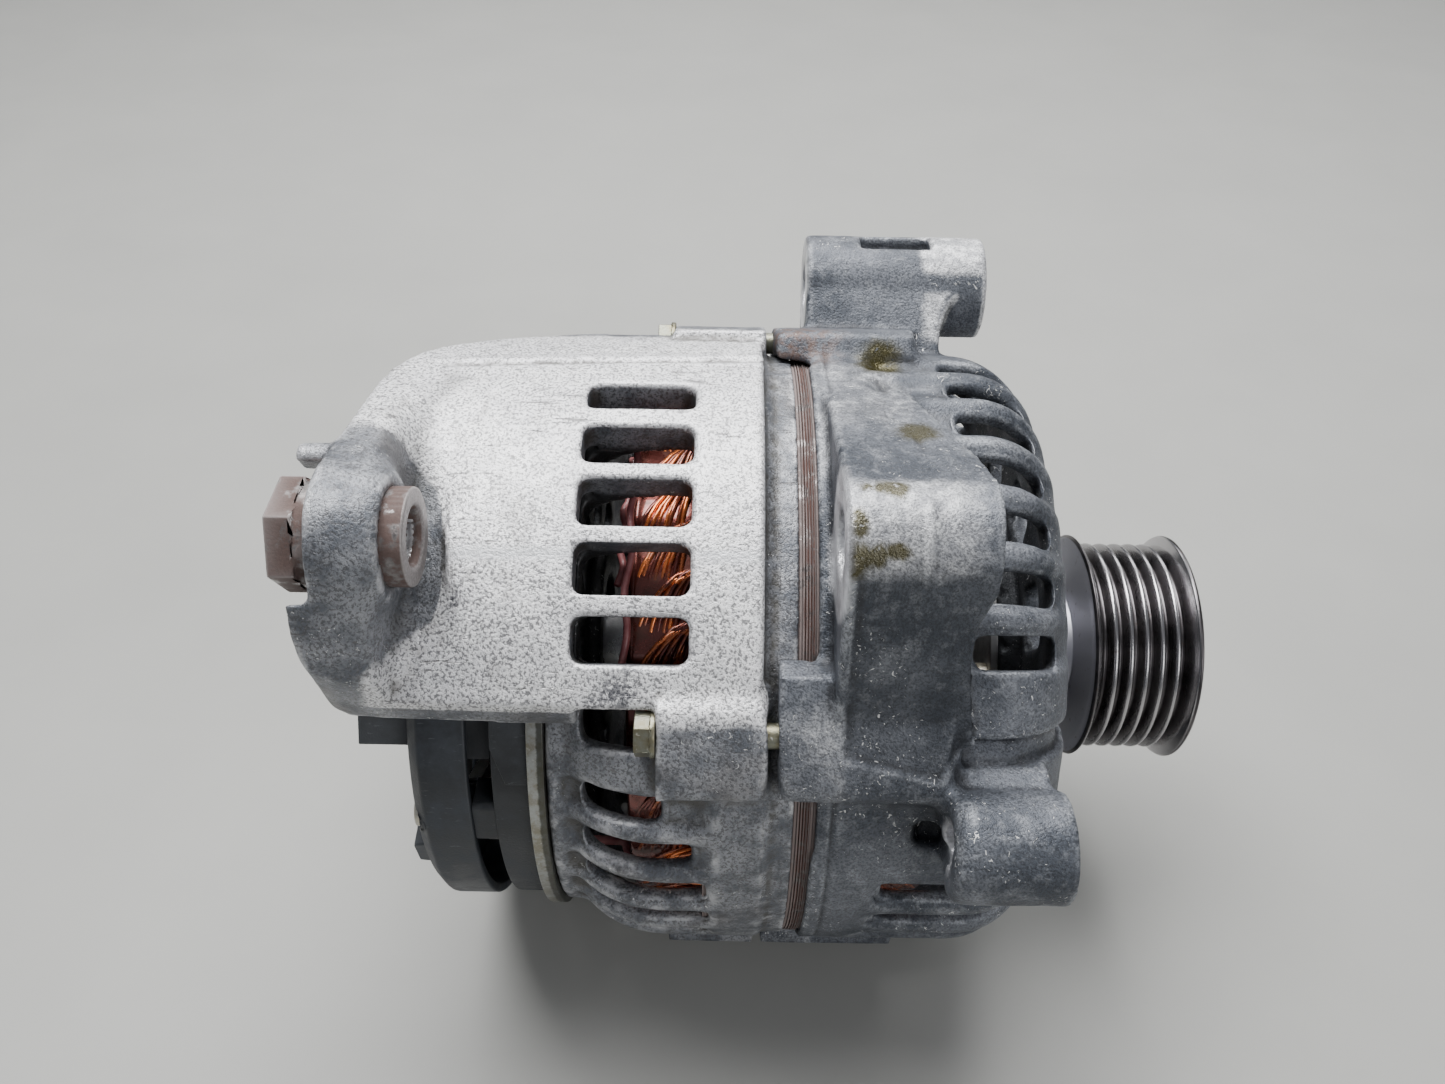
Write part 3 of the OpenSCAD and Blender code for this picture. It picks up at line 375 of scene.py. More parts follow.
def zinc_plated(name, bright, yellow, tarnish=0.45, dark_from=None):
    """Zinc plating gone yellow, with white bloom, a little rust and a darker side.

    It darkens beyond the station dark_from.
    """
    s = Surface(name, metallic=0.85, roughness=0.45)
    patch = s.noise(2.5, detail=6, roughness=0.7)
    color = s.mix(s.ramp(patch, 0.35, 0.65), bright, yellow)
    bloom = s.ramp(s.noise(1.1, detail=5), 0.6, 0.72)
    color = s.mix(s.times(bloom, 0.6), color, (0.72, 0.72, 0.68))
    rust = s.ramp(s.noise(5, detail=6, roughness=0.75), 0.66, 0.74)
    color = s.mix(s.times(rust, tarnish), color, (0.2, 0.08, 0.03))
    if dark_from is not None:
        ragged = s.math("ADD", s.station(), s.times(patch, 0.8))
        grime_and_shade = s.ramp(ragged, dark_from, dark_from + 0.5)
        color = s.mix(s.times(grime_and_shade, 0.8), color, (0.05, 0.05, 0.04))
    rough = s.blend(bloom, 0.38, 0.75)
    return s.finish(color, rough, s.noise(0.4, detail=2), 0.05)


def black_plastic(name, tint=(0.012, 0.014, 0.017)):
    """Glass-filled moulded plastic, dusty, with paler scuffed edges and pale fibres."""
    s = Surface(name, roughness=0.5)
    dust = s.noise(12, detail=6, roughness=0.7)
    grain = s.noise(0.5, detail=2)
    color = s.mix(s.ramp(dust, 0.4, 0.75), tint, tuple(c * 2.6 + 0.01 for c in tint))
    fibres = s.ramp(s.noise(0.6, detail=2, place=s.stretched(0.25, 1, 1)), 0.66, 0.72)
    color = s.mix(s.times(fibres, 0.35), color, (0.12, 0.13, 0.14))
    color = s.mix(s.times(s.edges(), 0.45), color, (0.12, 0.125, 0.13))
    rough = s.blend(s.ramp(dust, 0.35, 0.7), 0.4, 0.66)
    return s.finish(color, rough, grain, 0.06)


def enamelled_copper(name):
    """Enamelled wire, from near-black brown to bright orange, each wire its own shade."""
    s = Surface(name, metallic=0.75, roughness=0.28, coat=0.6)
    shade = s.attribute("shade")
    streak = s.noise(3.5, detail=3)
    color = s.mix(s.ramp(shade, 0.1, 0.9), (0.16, 0.045, 0.036), (0.95, 0.27, 0.08))
    color = s.mix(s.ramp(streak, 0.45, 0.72), color, (0.2, 0.055, 0.045))
    dirt = s.ramp(s.noise(6, detail=5), 0.5, 0.68)
    color = s.mix(s.times(dirt, 0.55), color, (0.05, 0.04, 0.03))
    return s.finish(color, s.blend(dirt, 0.22, 0.5), s.noise(0.8, detail=2), 0.03)


def moulded(name, low, high, roughness, coat=0.0):
    """Moulded plastic, rubber, paper or carbon: a soft mottle and a fine grain."""
    s = Surface(name, roughness=roughness, coat=coat)
    mottle = s.noise(6, detail=5)
    color = s.mix(s.ramp(mottle, 0.35, 0.65), low, high)
    rough = s.blend(s.ramp(mottle, 0.3, 0.7), roughness * 0.85, min(roughness * 1.25, 1))
    return s.finish(color, rough, s.noise(0.3, detail=2), 0.04)


def pulley_steel():
    """Dark burnished steel; the ridges' crowns are lighter, partly polished by the belt and partly a painted
    highlight, and the rear flange is painted as lit with a bluish painted reflection.
    """
    s = Surface("pulley_steel", metallic=1.0, roughness=0.3)
    belt_polish_and_highlight = s.attribute("belt_polish_and_highlight")
    stain = s.noise(9, detail=5)
    rings = s.noise(0.18, detail=2, place=s.stretched(1, 0.02, 0.02))
    color = s.mix(s.ramp(stain, 0.35, 0.7), (0.07, 0.065, 0.068), (0.15, 0.14, 0.145))
    # Lighter crowns: partly belt polish, partly a painted highlight.
    color = s.mix(belt_polish_and_highlight, color, (0.42, 0.41, 0.42))
    # Pale bluish rear flange: painted light and a bluish painted reflection.
    color = s.mix(s.attribute("face"), color, (0.52, 0.52, 0.57))
    color = s.mix(s.times(s.ramp(s.noise(2.2, detail=5), 0.62, 0.7), 0.4), color, (0.10, 0.055, 0.035))
    rough = s.blend(belt_polish_and_highlight, s.blend(s.ramp(stain, 0.4, 0.7), 0.28, 0.42), 0.23)
    rough = s.blend(s.attribute("face"), rough, 0.5)
    return s.finish(color, rough, rings, 0.025)


MATERIALS = {
    "cast_front": cast_front(),
    "cast_rear": cast_rear(),
    "laminations": rusty_steel("laminations", (0.19, 0.17, 0.165), (0.14, 0.065, 0.05), 0.8, layers=0.65),
    "winding": enamelled_copper("winding"),
    "liner": moulded("liner", (0.16, 0.125, 0.075), (0.26, 0.215, 0.14), 0.8),
    "lead": moulded("lead", (0.22, 0.06, 0.065), (0.36, 0.14, 0.14), 0.45, coat=0.2),
    "zinc_bolt": zinc_plated("zinc_bolt", (0.25, 0.255, 0.205), (0.21, 0.19, 0.12)),
    "bushing_steel": rusty_steel("bushing_steel", (0.34, 0.32, 0.315), (0.15, 0.10, 0.088), 0.8,
                                 bare_from=-152.3),
    "shaft_steel": worked_steel("shaft_steel", (0.4, 0.4, 0.41), (0.62, 0.62, 0.63), 0.3),
    "pole_steel": rusty_steel("pole_steel", (0.3, 0.28, 0.27), (0.2, 0.12, 0.08), 0.5),
    "field_copper": enamelled_copper("field_copper"),
    "bobbin": moulded("bobbin", (0.3, 0.27, 0.2), (0.42, 0.39, 0.31), 0.5),
    "fan_steel": worked_steel("fan_steel", (0.045, 0.043, 0.042), (0.11, 0.105, 0.10), 0.5, size=1.2),
    "pulley_steel": pulley_steel(),
    "nut_steel": zinc_plated("nut_steel", (0.5, 0.49, 0.44), (0.42, 0.38, 0.28), 0.3),
    "black_plastic": black_plastic("black_plastic"),
    "ring_copper": worked_steel("ring_copper", (0.45, 0.2, 0.1), (0.78, 0.42, 0.24), 0.25),
    "bearing_steel": worked_steel("bearing_steel", (0.45, 0.45, 0.46), (0.7, 0.7, 0.72), 0.22),
    "ball_steel": worked_steel("ball_steel", (0.75, 0.75, 0.76), (0.85, 0.85, 0.86), 0.08, size=2),
    "cage": worked_steel("cage", (0.42, 0.32, 0.14), (0.68, 0.56, 0.3), 0.35),
    "seal": moulded("seal", (0.018, 0.018, 0.018), (0.035, 0.035, 0.035), 0.6),
    "plate_steel": worked_steel("plate_steel", (0.4, 0.4, 0.39), (0.58, 0.58, 0.57), 0.4, size=1.5),
    "screw_steel": zinc_plated("screw_steel", (0.55, 0.54, 0.5), (0.45, 0.4, 0.28), 0.25),
    "sleeve_plastic": moulded("sleeve_plastic", (0.7, 0.65, 0.52), (0.82, 0.78, 0.66), 0.5),
    "zinc_plate": zinc_plated("zinc_plate", (0.40, 0.41, 0.40), (0.27, 0.255, 0.2), 0.3, dark_from=-132.3),
    "plus_plate": worked_steel("plus_plate", (0.5, 0.5, 0.51), (0.7, 0.7, 0.71), 0.38, size=1.4),
    "diode_case": worked_steel("diode_case", (0.4, 0.34, 0.3), (0.62, 0.56, 0.5), 0.35),
    "carbon": moulded("carbon", (0.025, 0.025, 0.027), (0.05, 0.05, 0.053), 0.55),
    "spring_steel": worked_steel("spring_steel", (0.45, 0.45, 0.45), (0.65, 0.65, 0.66), 0.25),
    "pin_brass": worked_steel("pin_brass", (0.5, 0.42, 0.22), (0.72, 0.63, 0.4), 0.3),
    "cover_plastic": black_plastic("cover_plastic", (0.013, 0.016, 0.021)),
    "stud_brass": zinc_plated("stud_brass", (0.62, 0.56, 0.38), (0.5, 0.38, 0.16), 0.15),
    "nut_brass": zinc_plated("nut_brass", (0.6, 0.55, 0.4), (0.46, 0.37, 0.18), 0.2),
}


# ---- mesh helpers ----

def new_piece(name, mesh, body, slot, replaced=()):
    piece = bpy.data.objects.new(name, mesh)
    bpy.context.collection.objects.link(piece)
    mesh.materials.clear()
    mesh.materials.append(MATERIALS[slot])
    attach(piece, body)
    if replaced:
        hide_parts(*replaced)
    return piece


def shade_smooth(mesh, angle=None):
    mesh.polygons.foreach_set("use_smooth", [True] * len(mesh.polygons))
    if angle is not None:
        mesh.set_sharp_from_angle(angle=math.radians(angle))


def welded_copy(node, name):
    """The CAD node's mesh with its faces joined at their edges."""
    mesh = frame["nodes"][node].data.copy()
    mesh.name = name
    form = bmesh.new()
    form.from_mesh(mesh)
    bmesh.ops.remove_doubles(form, verts=form.verts, dist=0.002 * MM)
    form.to_mesh(mesh)
    form.free()
    return mesh


def get_points(mesh):
    points = np.empty(len(mesh.vertices) * 3)
    mesh.vertices.foreach_get("co", points)
    return points.reshape(-1, 3) / MM


def set_points(mesh, points):
    mesh.vertices.foreach_set("co", (points * MM).ravel())
    mesh.update()


def get_normals(mesh):
    normals = np.empty(len(mesh.vertices) * 3, dtype=np.float32)
    mesh.vertices.foreach_get("normal", normals)
    return normals.reshape(-1, 3).astype(float)


def set_values(mesh, name, values):
    layer = mesh.attributes.new(name, "FLOAT", "POINT")
    layer.data.foreach_set("value", values.astype(np.float32))


class Links:
    """Which vertices are joined, for averaging over neighbours."""

    def __init__(self, mesh):
        pairs = np.empty(len(mesh.edges) * 2, dtype=np.int32)
        mesh.edges.foreach_get("vertices", pairs)
        pairs = pairs.reshape(-1, 2)
        self.count = len(mesh.vertices)
        self.start = np.concatenate([pairs[:, 0], pairs[:, 1]])
        self.end = np.concatenate([pairs[:, 1], pairs[:, 0]])
        self.degree = np.maximum(np.bincount(self.start, minlength=self.count), 1)

    def mean(self, values):
        if values.ndim == 1:
            return np.bincount(self.start, values[self.end], self.count) / self.degree
        return np.stack([self.mean(values[:, i]) for i in range(values.shape[1])], axis=1)


def soften(points, links, weight, passes):
    """Smooths the surface where weight is above 0, as a casting's fillets are."""
    touched = weight[links.start] > 0.01
    start, end = links.start[touched], links.end[touched]
    rows, start = np.unique(start, return_inverse=True)
    amount = (0.6 * weight[rows])[:, None]
    degree = links.degree[rows][:, None]
    for _ in range(passes):
        total = np.stack([np.bincount(start, points[end, i], len(rows)) for i in range(3)], axis=1)
        points[rows] += amount * (total / degree - points[rows])


def lattice_noise(points, size, seed):
    """Smooth values from -1 to 1 that change over about size millimetres."""
    cell = points / size
    base = np.floor(cell).astype(np.int64)
    part = cell - base
    part = part * part * (3 - 2 * part)
    total = np.zeros(len(points))
    for corner in itertools.product((0, 1), repeat=3):
        key = base + np.array(corner)
        mixed = (key[:, 0] * 73856093) ^ (key[:, 1] * 19349663) ^ (key[:, 2] * 83492791) ^ seed
        mixed = ((mixed ^ (mixed >> 13)) * 1274126177) & 0xFFFFFFFF
        value = ((mixed >> 7) & 0xFFFF) / 32767.5 - 1
        weight = np.prod(np.where(np.array(corner) == 1, part, 1 - part), axis=1)
        total += value * weight
    return total


def cylinder_coordinates(points):
    reach = np.hypot(points[:, 1], points[:, 2])
    angle = np.degrees(np.arctan2(points[:, 2], points[:, 1])) % 360
    return points[:, 0], angle, reach


def off_axis(points, angle, reach):
    """Distance in millimetres from the line parallel to the shaft at that angle and reach."""
    centre = np.array(polar(0, angle, reach)) / MM
    return np.hypot(points[:, 1] - centre[1], points[:, 2] - centre[2])


def distance_to_path(points, path):
    """Distance in millimetres from each point to a line through the given polar points."""
    corners = [np.array(polar(*p)) / MM for p in path]
    best = np.full(len(points), 1e9)
    for a, b in zip(corners, corners[1:]):
        along = b - a
        t = np.clip((points - a) @ along / (along @ along), 0, 1)
        best = np.minimum(best, np.linalg.norm(points - (a + t[:, None] * along), axis=1))
    return best


# ---- cast housings ----

def cast_mesh(node, name):
    """The CAD housing as a casting: one even skin whose edges and corners are rounded."""
    source = bpy.data.objects.new(name + "_source", welded_copy(node, name))
    bpy.context.collection.objects.link(source)
    remesh = source.modifiers.new("skin", "REMESH")
    remesh.mode = "VOXEL"
    remesh.voxel_size = CAST_VOXEL * MM
    remesh.adaptivity = 0.0
    evaluated = source.evaluated_get(bpy.context.evaluated_depsgraph_get())
    mesh = bpy.data.meshes.new_from_object(evaluated)
    bpy.data.objects.remove(source)
    links = Links(mesh)
    points = get_points(mesh)
    for _ in range(CAST_PASSES):
        for step in (0.6, -0.35):
            points += step * (links.mean(points) - points)
    return mesh, links, points


def round_bores(points, bores):
    """Puts the walls of the machined bores back on their true cylinders."""
    for angle, reach, radius, low, high in bores:
        centre = np.array(polar(0, angle, reach)) / MM
        arm = points[:, 1:] - centre[1:]
        distance = np.linalg.norm(arm, axis=1)
        wall = (np.abs(distance - radius) < 0.75) & (points[:, 0] > low) & (points[:, 0] < high)
        points[wall, 1:] = centre[1:] + arm[wall] * (radius / distance[wall])[:, None]


def shape_values(mesh, links, points):
    """Stores how far each vertex stands on an edge or in a hollow, from 0 to 1."""
    normals = get_normals(mesh)
    bend = np.einsum("ij,ij->i", points - links.mean(points), normals)
    bend = 0.5 * bend + 0.5 * links.mean(bend)
    set_values(mesh, "edge", smoothstep(0.012, 0.05, bend))
    wide = -bend
    for _ in range(2):
        wide = 0.5 * wide + 0.5 * links.mean(wide)
    set_values(mesh, "cavity", smoothstep(0.006, 0.03, wide))


def rib_rounding(points, facing, pitch, shoulder, span, skipped):
    """How far to sink a housing's skin so that the bars between its slots are round.

    The bars lie round the shoulder, pitch degrees apart, between the through bolts, and over
    the stations in span. The sectors in skipped have none.
    """
    x, angle, reach = cylinder_coordinates(points)
    start, length = shoulder
    from_bolt = (angle - FIRST_BOLT[0]) % 90
    from_slot = (from_bolt - 45 + pitch / 2) % pitch - pitch / 2
    mm_from_bar = (pitch / 2 - np.abs(from_slot)) * np.radians(1) * reach
    sink = 1.9 * smoothstep(0.5, pitch * 0.42, mm_from_bar)
    sink *= smoothstep(10, 12.5, from_bolt) * smoothstep(80, 77.5, from_bolt)
    along = np.clip((x - start) / length, 0, None)
    skin = np.abs(np.hypot(along, (reach - SHOULDER_R) / (BODY_R - SHOULDER_R)) - 1) * 19
    sink *= smoothstep(1.8, 0.7, skin) * smoothstep(0.1, 0.5, facing)
    sink *= smoothstep(span[0], span[0] + 5, x) * smoothstep(span[1], span[1] - 5, x)
    for low, high in skipped:
        sink *= 1 - smoothstep(low - 1, low, angle) * smoothstep(high + 1, high, angle)
    return sink


def outward_facing(normals, angle, way):
    """How far each point faces away from the shaft, or along it to the housing's own end."""
    outward = normals[:, 1] * np.cos(np.radians(angle)) + normals[:, 2] * np.sin(np.radians(angle))
    return np.maximum(outward, way * normals[:, 0])


def soften_front_corners(points, links, x, angle, reach):
    """Rounds the sides of the bolt pads and the lower lug's root."""
    pad_edges = np.maximum(smoothstep(6, 2, np.abs(angle - 67.3)),
                           smoothstep(4, 1.5, np.abs(angle - 157.3)))
    pad_edges *= smoothstep(68.5, 69.5, reach) * smoothstep(-49, -52, x)
    soften(points, links, pad_edges, 30)
    lug_root = smoothstep(19, 14, off_axis(points, *LOWER_LUG)) * smoothstep(-49, -52, x) * (reach > 69)
    soften(points, links, lug_root * (off_axis(points, *LOWER_LUG) > 5.5), 14)


def front_panel(x, angle, reach):
    """Sunken panel in the web's lower half."""
    low_edge = np.interp(x, [-72.6, -55, -47.5, -44], [150.3, 153.5, 147.5, 140])
    panel = smoothstep(-73.4, -72.2, x) * smoothstep(low_edge + 0.7, low_edge - 0.7, angle)
    return panel * (smoothstep(118, 132, angle) * smoothstep(70.5, 72, reach) * smoothstep(-45, -48, x))


def front_relief(points, facing, panel, x, angle, reach):
    """Sand-cast unevenness, and the moulds' parting line over the boss and its web."""
    push = 0.10 * lattice_noise(points, 7, 11) + 0.05 * lattice_noise(points, 2.4, 12)
    seam = distance_to_path(points, [(-60.3, 117, 97), (-60.8, 123.3, 97), (-61.2, 130, 92),
                                     (-61.4, 138, 84), (-62, 148, 78)])
    push += 0.55 * np.exp(-(seam / 0.9) ** 2)
    score = distance_to_path(points, [(-64.5, 96.4, 75), (-62.6, 98.6, 76), (-59.4, 102.8, 78.5),
                                      (-58.6, 107.5, 84), (-57.7, 111.4, 91)])
    push -= 0.6 * np.exp(-(score / 0.7) ** 2)
    push -= 0.85 * panel
    # Shallow step beside the core, as the mould leaves it
    ring = np.exp(-((x + 73.6) / 0.55) ** 2) * (reach < 72.2)
    push -= 0.35 * ring
    return push - rib_rounding(points, facing, 10.7, FRONT_SHOULDER, (-66, -24.5), [(138.5, 177)])


def front_machined(points, x, reach):
    """Faces and bores that a tool has cut."""
    boss_face = (np.abs(x + 74.8) < 0.6) & (off_axis(points, *PIVOT) < 14) & (reach > 71)
    lug_faces = (off_axis(points, *LOWER_LUG) < 9.6) & (x > -31.2)
    lug_faces |= (off_axis(points, *UPPER_LUG) < 12) & ((x > -33.7) | (x < -76.6))
    bores = (off_axis(points, *PIVOT) < 6.7) | (off_axis(points, *UPPER_LUG) < 5.7)
    bores |= off_axis(points, *LOWER_LUG) < 4.7
    return (boss_face | lug_faces | bores).astype(float)


def front_painted_shade(points, panel, x, angle, reach):
    """Painted shade inside the ribs, in the pockets and on the sunken panel, where the light does not reach.
    """
    deep = smoothstep(66.6, 65.2, reach + np.clip(x + 43.5, 0, 20) * 1.3) * smoothstep(-28, -31, x)
    pocket = smoothstep(5, 3.5, np.hypot(x + 54.3, (angle - 166) * 1.25)) * smoothstep(71.5, 69.8, reach)
    upper_pocket = smoothstep(9.5, 8.6, off_axis(points, *UPPER_LUG)) * (np.abs(x + 55) < 8.6)
    return np.maximum.reduce([deep * 0.92, pocket * 0.8, panel * 0.22, upper_pocket * 0.7])


def front_clean_and_lit(points, x, angle, reach):
    """Silvery metal on the top, the upper lug, the boss's crest and the margin: partly cleaner metal, partly
    a painted highlight where the light falls.
    """
    top = smoothstep(60, 76, angle) * smoothstep(112, 100, angle) * smoothstep(-50, -62, x)
    top *= smoothstep(82, 75, reach)
    lug = smoothstep(26, 18, off_axis(points, *UPPER_LUG)) * smoothstep(70, 76, reach)
    lug *= smoothstep(-52, -46, x)
    crest = smoothstep(91, 95, reach) * smoothstep(104, 110, angle) * smoothstep(134, 124, angle)
    margin = smoothstep(-71, -73, x) * smoothstep(71, 73, reach) * smoothstep(138, 145, angle)
    return 0.42 * top + 1.15 * lug + 0.6 * crest * smoothstep(-47, -56, x) + 0.34 * margin


def front_shell():
    mesh, links, points = cast_mesh("front_housing", "front_shell")
    x, angle, reach = cylinder_coordinates(points)
    soften_front_corners(points, links, x, angle, reach)
    set_points(mesh, points)
    normals = get_normals(mesh)
    facing = outward_facing(normals, angle, 1)
    outer = smoothstep(0.05, 0.35, facing)
    panel = front_panel(x, angle, reach)
    push = front_relief(points, facing, panel, x, angle, reach)
    points += normals * (push * outer)[:, None]
    ribs = smoothstep(-64, -58, x) * smoothstep(64, 67, reach + np.clip(x + 43.5, 0, 20)) * (reach < 71.2)
    ribs *= 1 - smoothstep(137, 139, angle) * smoothstep(178, 176, angle)
    soften(points, links, ribs, RIB_PASSES)
    round_bores(points, [(*PIVOT, 6.25, -75, -47), (*UPPER_LUG, 5.25, -77, -33), (*LOWER_LUG, 4.25, -54, -30),
                         (0, 0, 23.5, -34, -20)])
    set_points(mesh, points)
    shape_values(mesh, links, points)
    set_values(mesh, "machined", links.mean(front_machined(points, x, reach)))
    # Painted shade inside the ribs, in the pockets and on the sunken panel.
    set_values(mesh, "grime_and_shade", links.mean(front_painted_shade(points, panel, x, angle, reach)))
    # Partly cleaner metal, partly a painted highlight where the light falls.
    set_values(mesh, "bright", np.clip(front_clean_and_lit(points, x, angle, reach), 0, 1) * outer)
    shade_smooth(mesh)
    return new_piece("front_shell", mesh, "housing", "cast_front", ["front_housing"])


def soften_rear_corners(points, links, from_pivot, x, angle, reach):
    """Rounds the hollow beside the pivot lug and the sides of the bolt pads."""
    scoop = smoothstep(-165, -162, x) * smoothstep(-144, -148, x) * smoothstep(80, 86, angle)
    scoop *= smoothstep(143, 137, angle) * smoothstep(11.4, 13.5, from_pivot) * smoothstep(70, 70.8, reach)
    soften(points, links, scoop, 90)
    pad_edges = np.maximum(smoothstep(4, 1.5, np.abs(angle - 157.3)),
                           smoothstep(3.5, 1.5, np.abs(angle - 143.5)))
    pad_edges *= smoothstep(69, 70, reach) * smoothstep(-107.4, -106, x)
    soften(points, links, pad_edges, 24)


def rear_relief(points, facing, x, angle):
    """Blasted unevenness, the crease along the arm's upper side and the step across the pivot lug."""
    push = 0.09 * lattice_noise(points, 8, 21) + 0.05 * lattice_noise(points, 2.2, 22)
    crease = distance_to_path(points, [(-156, 83.0, 74.5), (-131.9, 81.6, 74.5), (-110.4, 80.5, 74.5),
                                       (-88.7, 79.6, 74.5)])
    push -= 0.5 * np.exp(-(crease / 0.8) ** 2)
    push += 0.3 * np.exp(-((crease - 2.2) / 1.2) ** 2) * (angle < 82) * (x < -88)
    step = distance_to_path(points, [(-172, 107.8, 88), (-165, 107.5, 88), (-158, 106.5, 87)])
    push -= 0.8 * np.exp(-(step / 1.1) ** 2)
    return push - rib_rounding(points, facing, 9.93, REAR_SHOULDER, (-134, -96), [(64, 147)])


def rear_painted_shade(points, x, angle, reach):
    """Painted shade inside the ribs, under the arm and in the hollow beside the pivot lug."""
    under_arm = smoothstep(67.7, 66.9, reach) * smoothstep(-86, -90, x)
    under_arm *= smoothstep(82, 86, angle) * smoothstep(141, 138, angle)
    deep = smoothstep(66.5, 65.2, reach + np.clip(-x - 108, 0, 22) * 0.9) * smoothstep(-130, -127, x)
    crescent = distance_to_path(points, [(-153, 88, 73), (-157.5, 97, 73), (-155, 106, 73),
                                         (-154.6, 113, 72)])
    return np.maximum.reduce([deep * 0.92, under_arm * 0.85, 0.5 * smoothstep(4.5, 1.0, crescent)])


def rear_clean_and_lit(x, angle, reach):
    """The blasted arm without its end, and a band beside the core: partly cleaner blasted metal, partly a
    painted highlight on the upper and near faces, where the light falls.
    """
    arm = smoothstep(62, 70, angle) * smoothstep(149, 143, angle) * smoothstep(71.8, 73, reach)
    border = np.interp(angle, [104, 110, 117, 127, 133, 139, 147],
                       [-158, -153, -150.5, -150, -153, -160, -164])
    end = smoothstep(3, -4, x - border) * smoothstep(103, 109, angle)
    plate = smoothstep(-146, -156, x) * smoothstep(109, 103, angle) * 0.25
    band = 0.3 * smoothstep(-87.2, -86.6, x) * (reach > 68)
    return arm * (1 - end) - plate * arm + band


def rear_shell():
    mesh, links, points = cast_mesh("rear_housing", "rear_shell")
    x, angle, reach = cylinder_coordinates(points)
    from_pivot = off_axis(points, *PIVOT)
    soften_rear_corners(points, links, from_pivot, x, angle, reach)
    set_points(mesh, points)
    normals = get_normals(mesh)
    facing = outward_facing(normals, angle, -1)
    outer = smoothstep(0.05, 0.35, facing)
    push = rear_relief(points, facing, x, angle)
    points += normals * (push * outer)[:, None]
    ribs = smoothstep(-97, -101, x) * smoothstep(62, 66, reach - (x + 108) * 0.5) * (reach < 71.2)
    ribs *= (x > -130.4) * (1 - smoothstep(62, 64, angle) * smoothstep(149, 147, angle))
    soften(points, links, ribs, RIB_PASSES)
    round_bores(points, [(*PIVOT, 9.25, -169, -155.5), (0, 0, 18.6, -136, -127)])
    set_points(mesh, points)
    shape_values(mesh, links, points)
    set_values(mesh, "machined", links.mean(np.where(from_pivot < 9.6, 0.8, 0.0)))
    # Painted shade inside the ribs, under the arm and in the hollow beside the pivot lug.
    set_values(mesh, "grime_and_shade", links.mean(rear_painted_shade(points, x, angle, reach)))
    # Partly cleaner metal, partly a painted highlight where the light falls.
    set_values(mesh, "bright", np.clip(rear_clean_and_lit(x, angle, reach), 0, 1) * outer)
    shade_smooth(mesh)
    return new_piece("rear_shell", mesh, "housing", "cast_rear", ["rear_housing"])


# ---- turned and swept pieces ----

def lathe(profile, sides):
    """A form turned about the shaft from [station, radius] points, as a bmesh."""
    form = bmesh.new()
    rings = []
    for i in range(sides):
        a = 2 * math.pi * i / sides
        rings.append([form.verts.new((x * MM, r * MM * math.cos(a), r * MM * math.sin(a)))
                      for x, r in profile])
    for i in range(sides):
        here, there = rings[i], rings[(i + 1) % sides]
        for j in range(len(profile)):
            k = (j + 1) % len(profile)
            form.faces.new((here[j], there[j], there[k], here[k]))
    bmesh.ops.recalc_face_normals(form, faces=form.faces)
    return form


def to_mesh(form, name):
    mesh = bpy.data.meshes.new(name)
    form.to_mesh(mesh)
    form.free()
    return mesh


def rounded(points, radius, steps=3):
    """The closed outline with each corner replaced by a short arc."""
    result = []
    count = len(points)
    for i in range(count):
        before, here, after = (Vector(points[(i + k) % count]) for k in (-1, 0, 1))
        size = min(radius, (here - before).length * 0.45, (after - here).length * 0.45)
        start = here + (before - here).normalized() * size
        end = here + (after - here).normalized() * size
        for k in range(steps + 1):
            t = k / steps
            result.append(tuple(start * (1 - t) ** 2 + here * 2 * t * (1 - t) + end * t * t))
    return result


def pulley_piece():
    pulley_r, ridge_r, root_r, first, pitch, count = 27.35, 25.2, 22.2, -8.9, 3.56, 6
    outline = [(-16, 8.6), (-16, 12.9), (-11.7, 13), (-10.7, 24), (-10.7, pulley_r - 0.8),
               (-10.1, pulley_r), (first - 0.7, pulley_r - 0.4)]
    for i in range(count):
        start = first + i * pitch
        outline += [(start + 0.45, ridge_r), (start + 1.3, root_r), (start + pitch - 1.3, root_r),
                    (start + pitch - 0.45, ridge_r)]
    end = first + count * pitch
    outline += [(end + 0.3, pulley_r - 0.3), (end + 0.8, pulley_r), (13.6, pulley_r), (14.08, 26.8),
                (14.08, 20), (11.1, 17.5), (-9.05, 17.5), (-9.05, 8.6)]
    mesh = to_mesh(lathe(rounded(outline, 0.42), 160), "turned_pulley")
    x, _, reach = cylinder_coordinates(get_points(mesh))
    belt = (x > first - 0.8) & (x < end + 0.6)
    # Lighter crowns: partly belt polish, partly a painted highlight.
    set_values(mesh, "belt_polish_and_highlight", smoothstep(ridge_r - 0.9, ridge_r - 0.1, reach) * belt)
    # The rear flange's painted light and bluish painted reflection.
    set_values(mesh, "face", smoothstep(-10.0, -10.6, x) * (reach < 26.6))
    shade_smooth(mesh, 50)
    return new_piece("turned_pulley", mesh, "rotor", "pulley_steel", ["pulley"])


